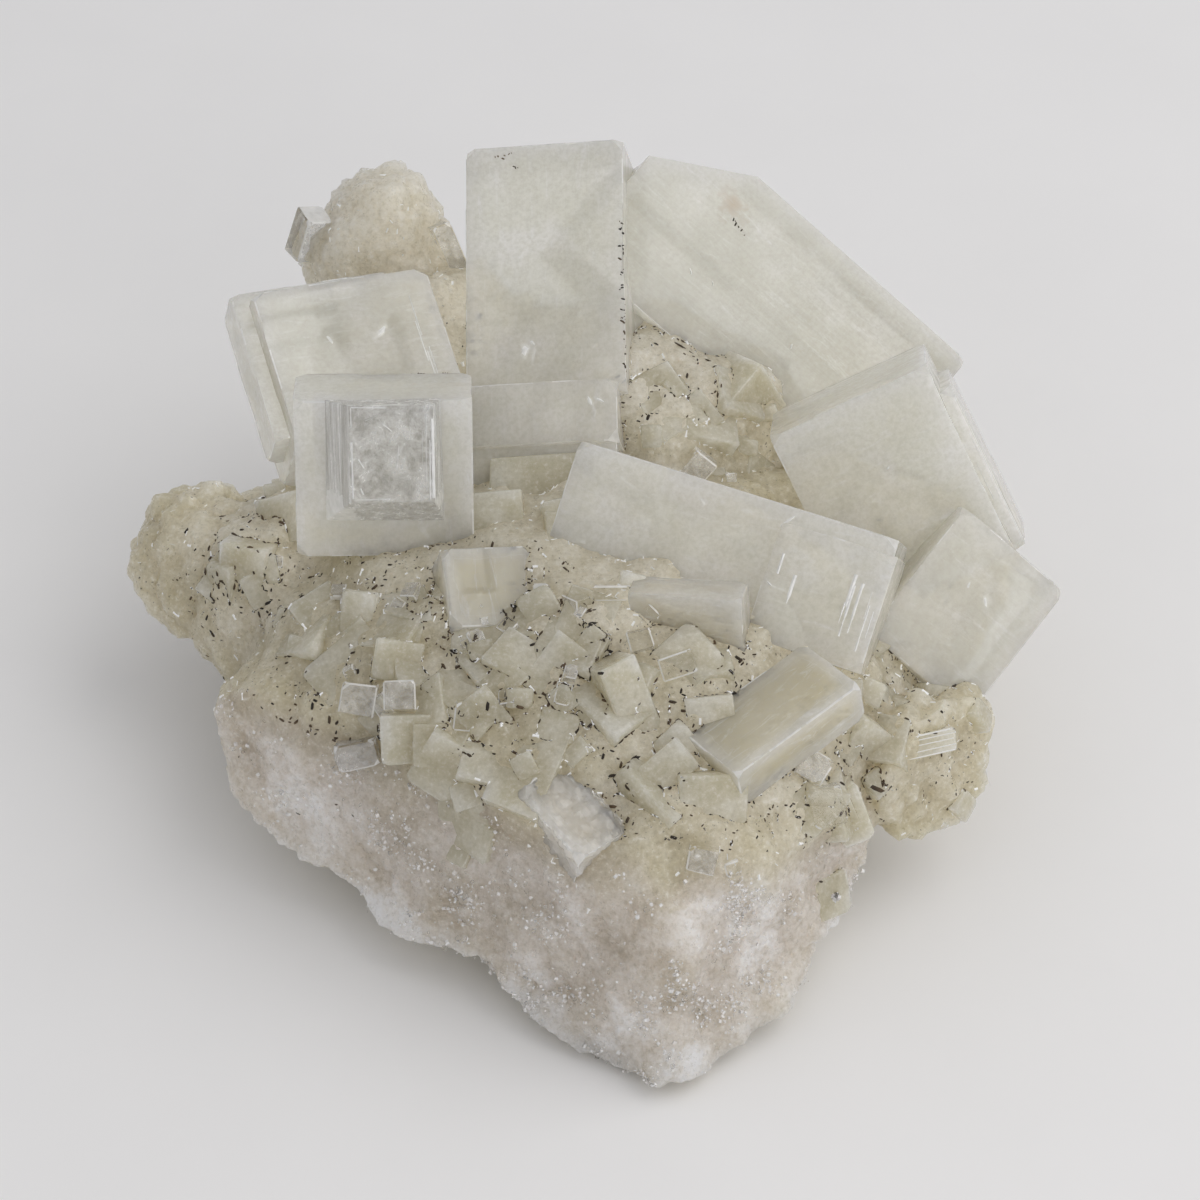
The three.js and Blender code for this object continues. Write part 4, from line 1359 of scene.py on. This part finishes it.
def small_crystals(rng):
    """The small crystals' meshes, milky and clear: those of the table, the nests, and the back
    and the sides."""
    made = []
    for number, (x, y, width, height, depth, azimuth, rise, roll) in enumerate(SMALL_CRYSTALS):
        clear = number in CLEAR_ONES
        mesh = small_block((width, depth, height), rng, 0.12, clear)
        sink = CLEAR_SINK if clear else SMALL_SINK
        mesh.transform(facing_frame(azimuth, rise, roll, seat(SMOOTH_SKIN, x, y)[0])
                       @ Matrix.Translation((0, depth * (0.5 - sink), 0)))
        made.append((mesh, clear))
    for (x, y), reach, count in NESTS:
        for _ in range(count):
            angle, out = rng.uniform(0, 2 * math.pi), reach * math.sqrt(rng.uniform())
            point, normal = seat(SMOOTH_SKIN, x + out * math.cos(angle), y + out * math.sin(angle))
            if point is not None and normal.z >= 0.25:
                made.append(nested_block(point, normal, rng))
    for _ in range(SIDE_CRYSTALS):
        heading, height = math.radians(rng.uniform(12, 168)), rng.uniform(5, 24)
        level = Vector((math.cos(heading), math.sin(heading), 0))
        outside = Vector((0, 4, height)) + 60 * level
        point, normal, _, _ = SMOOTH_SKIN.ray_cast(outside, -level)
        if point is not None and CRYSTAL_SKINS.find_nearest(point, 2)[0] is None:
            made.append(nested_block(point, normal, rng))
    return [mesh for mesh, clear in made if not clear], [mesh for mesh, clear in made if clear]


def grown_together(matrix, blocks):
    """The matrix and the milky blocks in one skin, which carries what its material reads."""
    crust, milky = prehnite_crust(), small_milky_apophyllite()
    for mesh in [matrix] + blocks:
        mesh.materials.append(crust)
        mesh.materials.append(milky)
        index = 0 if mesh is matrix else 1
        mesh.polygons.foreach_set("material_index", [index] * len(mesh.polygons))
    whole = fused([matrix] + blocks)
    points = coordinates(whole)
    broken = broken_share(points, normals_of(whole))
    mark(whole, "broken", broken)
    # A band below the crust's rim on the left of the break, browner with stain and darker with painted
    # shade.
    rim = smooth_step(0.05, 0.4, broken) * smooth_step(0.98, 0.6, broken)
    rim *= smooth_step(6, -2, points[:, 0])  # only on the left
    mark(whole, "stained_rim", 0.75 * rim * (0.7 + 0.5 * cloud(points, 2.5, 9)))
    shade_by_angle(whole, MATRIX_EDGES)
    return whole, [crust, milky]


def broken_shares(mesh):
    share = np.empty(len(mesh.vertices), np.float32)
    mesh.attributes["broken"].data.foreach_get("value", share)
    return share


def settling_spots(mesh):
    """Place, direction and outward normal wherever a dark grain may lie: in the seams of the
    crust, where crystals meet it, and more rarely on its open faces."""
    body = bmesh.new()
    body.from_mesh(mesh)
    fresh = broken_shares(mesh)
    found = []
    for edge in body.edges:
        if len(edge.link_faces) != 2 or edge.calc_length() < 0.02:
            continue
        one, two = sorted(edge.verts, key=lambda corner: corner.index)
        pair = (one.index, two.index)  # the order of the edges differs from run to run, this doesn't
        place = (one.co + two.co) / 2
        outward = (edge.link_faces[0].normal + edge.link_faces[1].normal).normalized()
        if outward.z < -0.2 or place.z < 3:
            continue
        lot = hash((*pair, 7)) % 16  # the hash of whole numbers is always the same
        in_seam = edge.calc_face_angle_signed(0) < -0.5 and lot < 5
        at_crystal = lot < 8 and CRYSTAL_SKINS.find_nearest(place, CONTACT)[0] is not None
        if fresh[one.index] > BROKEN_ABOVE and hash((*pair, 11)) % 12:
            continue
        if in_seam or lot == 0 or at_crystal:
            found.append((pair, place, (two.co - one.co).normalized(), outward))
    body.free()
    return [spot[1:] for spot in sorted(found, key=lambda spot: spot[0])]


def broken_faces(mesh):
    """Middle and area of each face of the sugary break."""
    share = broken_shares(mesh)
    return [(f.center.copy(), f.area) for f in mesh.polygons
            if share[f.vertices[0]] > BROKEN_ABOVE and f.area > 1e-3]


milky_small, clear_small = small_crystals(np.random.default_rng(21))
whole_matrix, matrix_materials = grown_together(matrix_mesh, milky_small)
SPOTS = settling_spots(whole_matrix)
MATRIX_SKIN = skin_of(whole_matrix)
SUGARED = broken_faces(whole_matrix)
finished("prehnite_matrix_grown", whole_matrix, matrix_materials, ["prehnite_matrix"])
clear_mesh = merged(clear_small, "clear_small")
shade_by_angle(clear_mesh, SMALL_CRYSTAL_EDGES)
finished("small_clear_crystals", clear_mesh,
         [glassy_mineral("clear_grown_apophyllite", APOPHYLLITE_IOR), FROST_AND_HIGHLIGHT,
          flawed_apophyllite("flawed_faces_of_small_crystals", (0.5, 0.5, 0.5), 0.7)],
         passes_light=True)

# ---------------------------------------------------------------- dark grains

# Where oxide grains lie: middle on the plan, reach and number of strings of grains.
SPECKLED = [
    ((-28, 6.7), 4, 90), ((-23.5, 3), 3, 24), ((-15, 1.6), 5, 34), ((-7.4, -4), 6, 60),
    ((-8.6, -9.2), 5, 40), ((-2.9, -8.4), 5, 66), ((-0.7, -10.6), 4, 50), ((-7.2, -13.3), 4, 30),
    ((3.5, -13.2), 4, 40), ((7.2, -8), 4, 40), ((14.5, -15.6), 3.4, 30), ((16.8, -16.4), 3, 10),
    ((8, -18.5), 4, 14), ((2.6, -17.6), 3, 10), ((-20, -12), 5, 14), ((7, 17.8), 3.5, 12),
    ((7.8, 21.4), 3, 8), ((2, 14.8), 2.5, 8), ((-11.4, 22.5), 3, 12), ((22.7, 5.5), 3, 8),
    ((21.2, -0.8), 3.5, 22),
    ((14.4, -15), 3.5, 30), ((17.3, -12.7), 3.5, 34), ((19.1, -13.4), 3, 10), ((24.5, -6.8), 4, 12),
    ((-19.9, -8.3), 3, 10), ((-24.5, -7.3), 3, 8), ((-20, -10.9), 3, 8), ((1.4, -18.4), 3, 10),
    ((-26, 8), 3, 26), ((10, 19), 3, 8), ((3.1, 21), 2, 5), ((24.9, 4.4), 2, 8), ((-12, -1), 5, 20),
]
# The few larger dark splinters: place on the plan, length, width and turn.
DARK_SPLINTERS = [
    (20.4, -13.0, 1.5, 0.45, 10), (20.9, -12.6, 0.9, 0.3, 60), (-29.4, 11.2, 0.8, 0.4, 30),
    (-27.7, 14.0, 1.0, 0.45, 75), (-28.9, 6.9, 1.1, 0.5, 100), (-22.4, 1.0, 0.7, 0.5, 0),
    (-8.1, -12.6, 0.8, 0.35, 95), (-32, 9.5, 0.6, 0.3, 50), (-26.6, 5.2, 0.6, 0.35, 20),
    (-4.9, -8.0, 0.6, 0.3, 45), (16.6, -10.4, 0.6, 0.25, 15), (6.3, 21.0, 2.4, 0.3, -22),
    (8.4, 20.2, 1.6, 0.26, -26),
]
# Grains caught along the edges of the large crystals: from, to and number.
EDGE_STRINGS = [
    ((1.6, 26.4, 35.4), (1.8, 20.7, 31.8), 24), ((1.8, 20.7, 31.8), (1.9, 15.6, 28.7), 20),
    ((4.9, 21.4, 27.3), (11.6, 19.4, 25.4), 34),
    ((-8.2, 31.8, 37), (-6.9, 31.9, 37.4), 6), ((-6.6, 31, 36.8), (-6.2, 31, 36.8), 3),
    ((-18.7, 13.5, 29), (-11.4, 14.8, 30.6), 9), ((-20.4, 8, 26), (-19.9, 5.6, 24.6), 5),
    ((10.6, 29.4, 33.2), (11.8, 28.2, 32.4), 7), ((19.2, 3.4, 21.6), (21.8, 0.6, 19), 12),
]
# Six-sided chips: how far out each corner of the outline is, and how thick they are.
CHIP_OUTLINE = (1.0, 0.7, 1.15, 0.8, 0.65, 1.1)
GRAIN_THICKNESS = 0.7  # for each 1 of width
GRAIN_FACES = [(k, (k + 1) % 6, 6) for k in range(6)] + [((k + 1) % 6, k, 7) for k in range(6)]


def grain(grains, place, along, normal, length, width):
    """Adds one grain: a flattened, uneven chip lying along the surface."""
    across = normal.cross(along).normalized()
    ring = [place + along * (length / 2 * out * math.cos(k * math.pi / 3))
            + across * (width / 2 * out * math.sin(k * math.pi / 3))
            for k, out in enumerate(CHIP_OUTLINE)]
    rise = normal * width * (GRAIN_THICKNESS / 2)
    grains.add(ring + [place + rise, place - rise], GRAIN_FACES)


def grain_strings(grains, rng):
    """Adds grains in clusters over the speckled places, a few of them strung together."""
    tree = searchable([place for place, _, _ in SPOTS])
    plan = np.array([[place.x, place.y] for place, _, _ in SPOTS])
    for (x, y), reach, count in SPECKLED:
        near = np.flatnonzero(np.hypot(plan[:, 0] - x, plan[:, 1] - y) < reach)
        if not len(near):
            continue
        for start in rng.choice(near, 10 * count):
            together = rng.choice([1, 2, 3, 6], p=[0.62, 0.25, 0.09, 0.04])
            around = [index for _, index, _ in tree.find_range(SPOTS[start][0], 0.25 * together)]
            for index in rng.choice(around, min(together, len(around)), replace=False):
                place, along, outward = SPOTS[index]
                width = rng.uniform(0.07, 0.19) * (2.0 if rng.random() < 0.05 else 1)
                grain(grains, place, along, outward, width * rng.uniform(1.1, 2.4), width)


def splinters(grains):
    """Adds the larger dark splinters, turned from where the slope of the matrix runs sideways."""
    for x, y, length, width, turn in DARK_SPLINTERS:
        place, normal = seat(MATRIX_SKIN, x, y)
        level = Vector((0, 1, 0)).cross(normal).normalized()
        along = Matrix.Rotation(math.radians(turn), 3, normal) @ level
        grain(grains, place, along, normal, length, width)


def edge_strings(grains, rng):
    """Adds single grains strung out along the crystal edges."""
    for start, end, count in EDGE_STRINGS:
        for share in rng.uniform(size=count):
            spot = Vector(start).lerp(Vector(end), share) + Vector(rng.normal(0, 0.12, 3))
            place, normal, _, _ = CRYSTAL_SKINS.find_nearest(spot)
            along = Matrix.Rotation(rng.uniform(0, 3), 3, normal) @ normal.orthogonal().normalized()
            width = rng.uniform(0.09, 0.2)
            grain(grains, place, along, normal, width * rng.uniform(1, 2.4), width)


oxide = Scatter()
grain_strings(oxide, np.random.default_rng(5))
splinters(oxide)
edge_strings(oxide, np.random.default_rng(6))
finished("oxide_grains", oxide.mesh("grains"), [dark_grains()])

# ---------------------------------------------------------------- ridges and painted glints in the crust

# The flat crystal of the right lobe whose growth layers stand out, and their heights on it.
RIDGED = SMALL_CRYSTALS[41]
RIDGES_AT = (-0.75, -0.35, 0.1, 0.5, 0.8)
GLINTS = 2400


def lobe_ridges(glints, rng):
    """Adds the ridges of the flat crystal on the right lobe."""
    x, y, width, _, depth, azimuth, rise, roll = RIDGED
    on_face = facing_frame(azimuth, rise, roll, seat(SMOOTH_SKIN, x, y)[0])
    front = depth * (1 - SMALL_SINK)
    for up in RIDGES_AT:
        ends = [on_face @ Vector((side * width * rng.uniform(0.4, 0.5), front, up)) for side in (-1, 1)]
        thin_bar(glints, *ends, on_face.to_3x3().col[1], 0.14, 0.08)


def crust_glints(rng):
    """Painted glints all over the crust: little white bars for the sharp edges of clear crystals where
    they catch the light.
    """
    glints = Scatter()
    lobe_ridges(glints, rng)
    for index in rng.choice(len(SPOTS), GLINTS, replace=False):
        place, along, outward = SPOTS[index]
        if outward.z < 0:
            continue
        chip = rng.random() < 0.25
        length = rng.uniform(0.3, 0.6) if chip else rng.uniform(0.12, 0.45)
        turned = Matrix.Rotation(rng.normal(0, 0.5), 3, outward) @ along
        width = rng.uniform(0.18, 0.34) if chip else rng.uniform(0.07, 0.18)
        thin_bar(glints, place - turned * length / 2, place + turned * length / 2, outward, width,
                 rng.uniform(0.03, 0.1))
    return glints.mesh("glints")


# White bars painted as glints, with the ridges of the right lobe's crystal.
finished("lobe_ridges_and_painted_crust_glints", crust_glints(np.random.default_rng(61)),
         [frosted_apophyllite("white_ridges_and_painted_glints_in_the_crust", "FAFAF8", 0.0)],
         passes_light=True)

# ---------------------------------------------------------------- sugar of the broken front

BOX_CORNERS = np.array(list(itertools.product((-0.5, 0.5), repeat=3)))
BOX_FACES = np.array([(0, 1, 3, 2), (4, 6, 7, 5), (0, 4, 5, 1), (2, 3, 7, 6), (0, 2, 6, 4), (1, 5, 7, 3)])


def random_turns(count, rng):
    """That many random rotations, from random quaternions."""
    quaternions = rng.normal(size=(count, 4))
    w, x, y, z = (quaternions / np.linalg.norm(quaternions, axis=1)[:, None]).T
    rows = [[1 - 2 * (y * y + z * z), 2 * (x * y - z * w), 2 * (x * z + y * w)],
            [2 * (x * y + z * w), 1 - 2 * (x * x + z * z), 2 * (y * z - x * w)],
            [2 * (x * z - y * w), 2 * (y * z + x * w), 1 - 2 * (x * x + y * y)]]
    return np.array(rows).transpose(2, 0, 1)


def sugar_grains(count, sizes, rng):
    """Randomly turned little blocks half sunk in the break, gathered in drifts 2 mm across."""
    area = np.array([a for _, a in SUGARED])
    drift = cloud(np.array([middle for middle, _ in SUGARED]), 2.2, 21)
    drift = np.clip(0.15 + drift, 0, 1) ** 2 + 0.02
    picked = rng.choice(len(SUGARED), count, p=area * drift / (area * drift).sum())
    middles = np.array([SUGARED[i][0] for i in picked]) + rng.normal(0, 0.15, (count, 3))
    span = sizes[0] + (sizes[1] - sizes[0]) * rng.uniform(size=count) ** 2.2
    sides = span[:, None] * rng.uniform(0.6, 1.3, (count, 3))
    blocks = BOX_CORNERS * sides[:, None]
    corners = middles[:, None] + np.einsum("nij,nkj->nki", random_turns(count, rng), blocks)
    corners[..., 2] = np.maximum(corners[..., 2], 0)
    faces = BOX_FACES + 8 * np.arange(count)[:, None, None]
    return mesh_of("sugar", corners.reshape(-1, 3), faces.reshape(-1, 4).tolist())


finished("sugary_break_grains", sugar_grains(700, (0.1, 0.3), np.random.default_rng(9)),
         [glassy_mineral("glassy_prehnite_grains", PREHNITE_IOR)])
# White crumbs on the sugary break, partly painted glints where its grains catch the light.
finished("white_crumbs_and_painted_glints_on_break", sugar_grains(2600, (0.06, 0.24), np.random.default_rng(10)),
         [frosted_apophyllite("white_prehnite_crumbs_and_painted_glints", "EBE6E2", 0.2)])

# ---------------------------------------------------------------- floor

half = FLOOR_HALF * MM
floor = object_of("background_paper", mesh_of(
    "floor", [(-half, -half, 0), (half, -half, 0), (half, half, 0), (-half, half, 0)], [(0, 1, 2, 3)]))
floor.data.materials.append(sweep_paper())
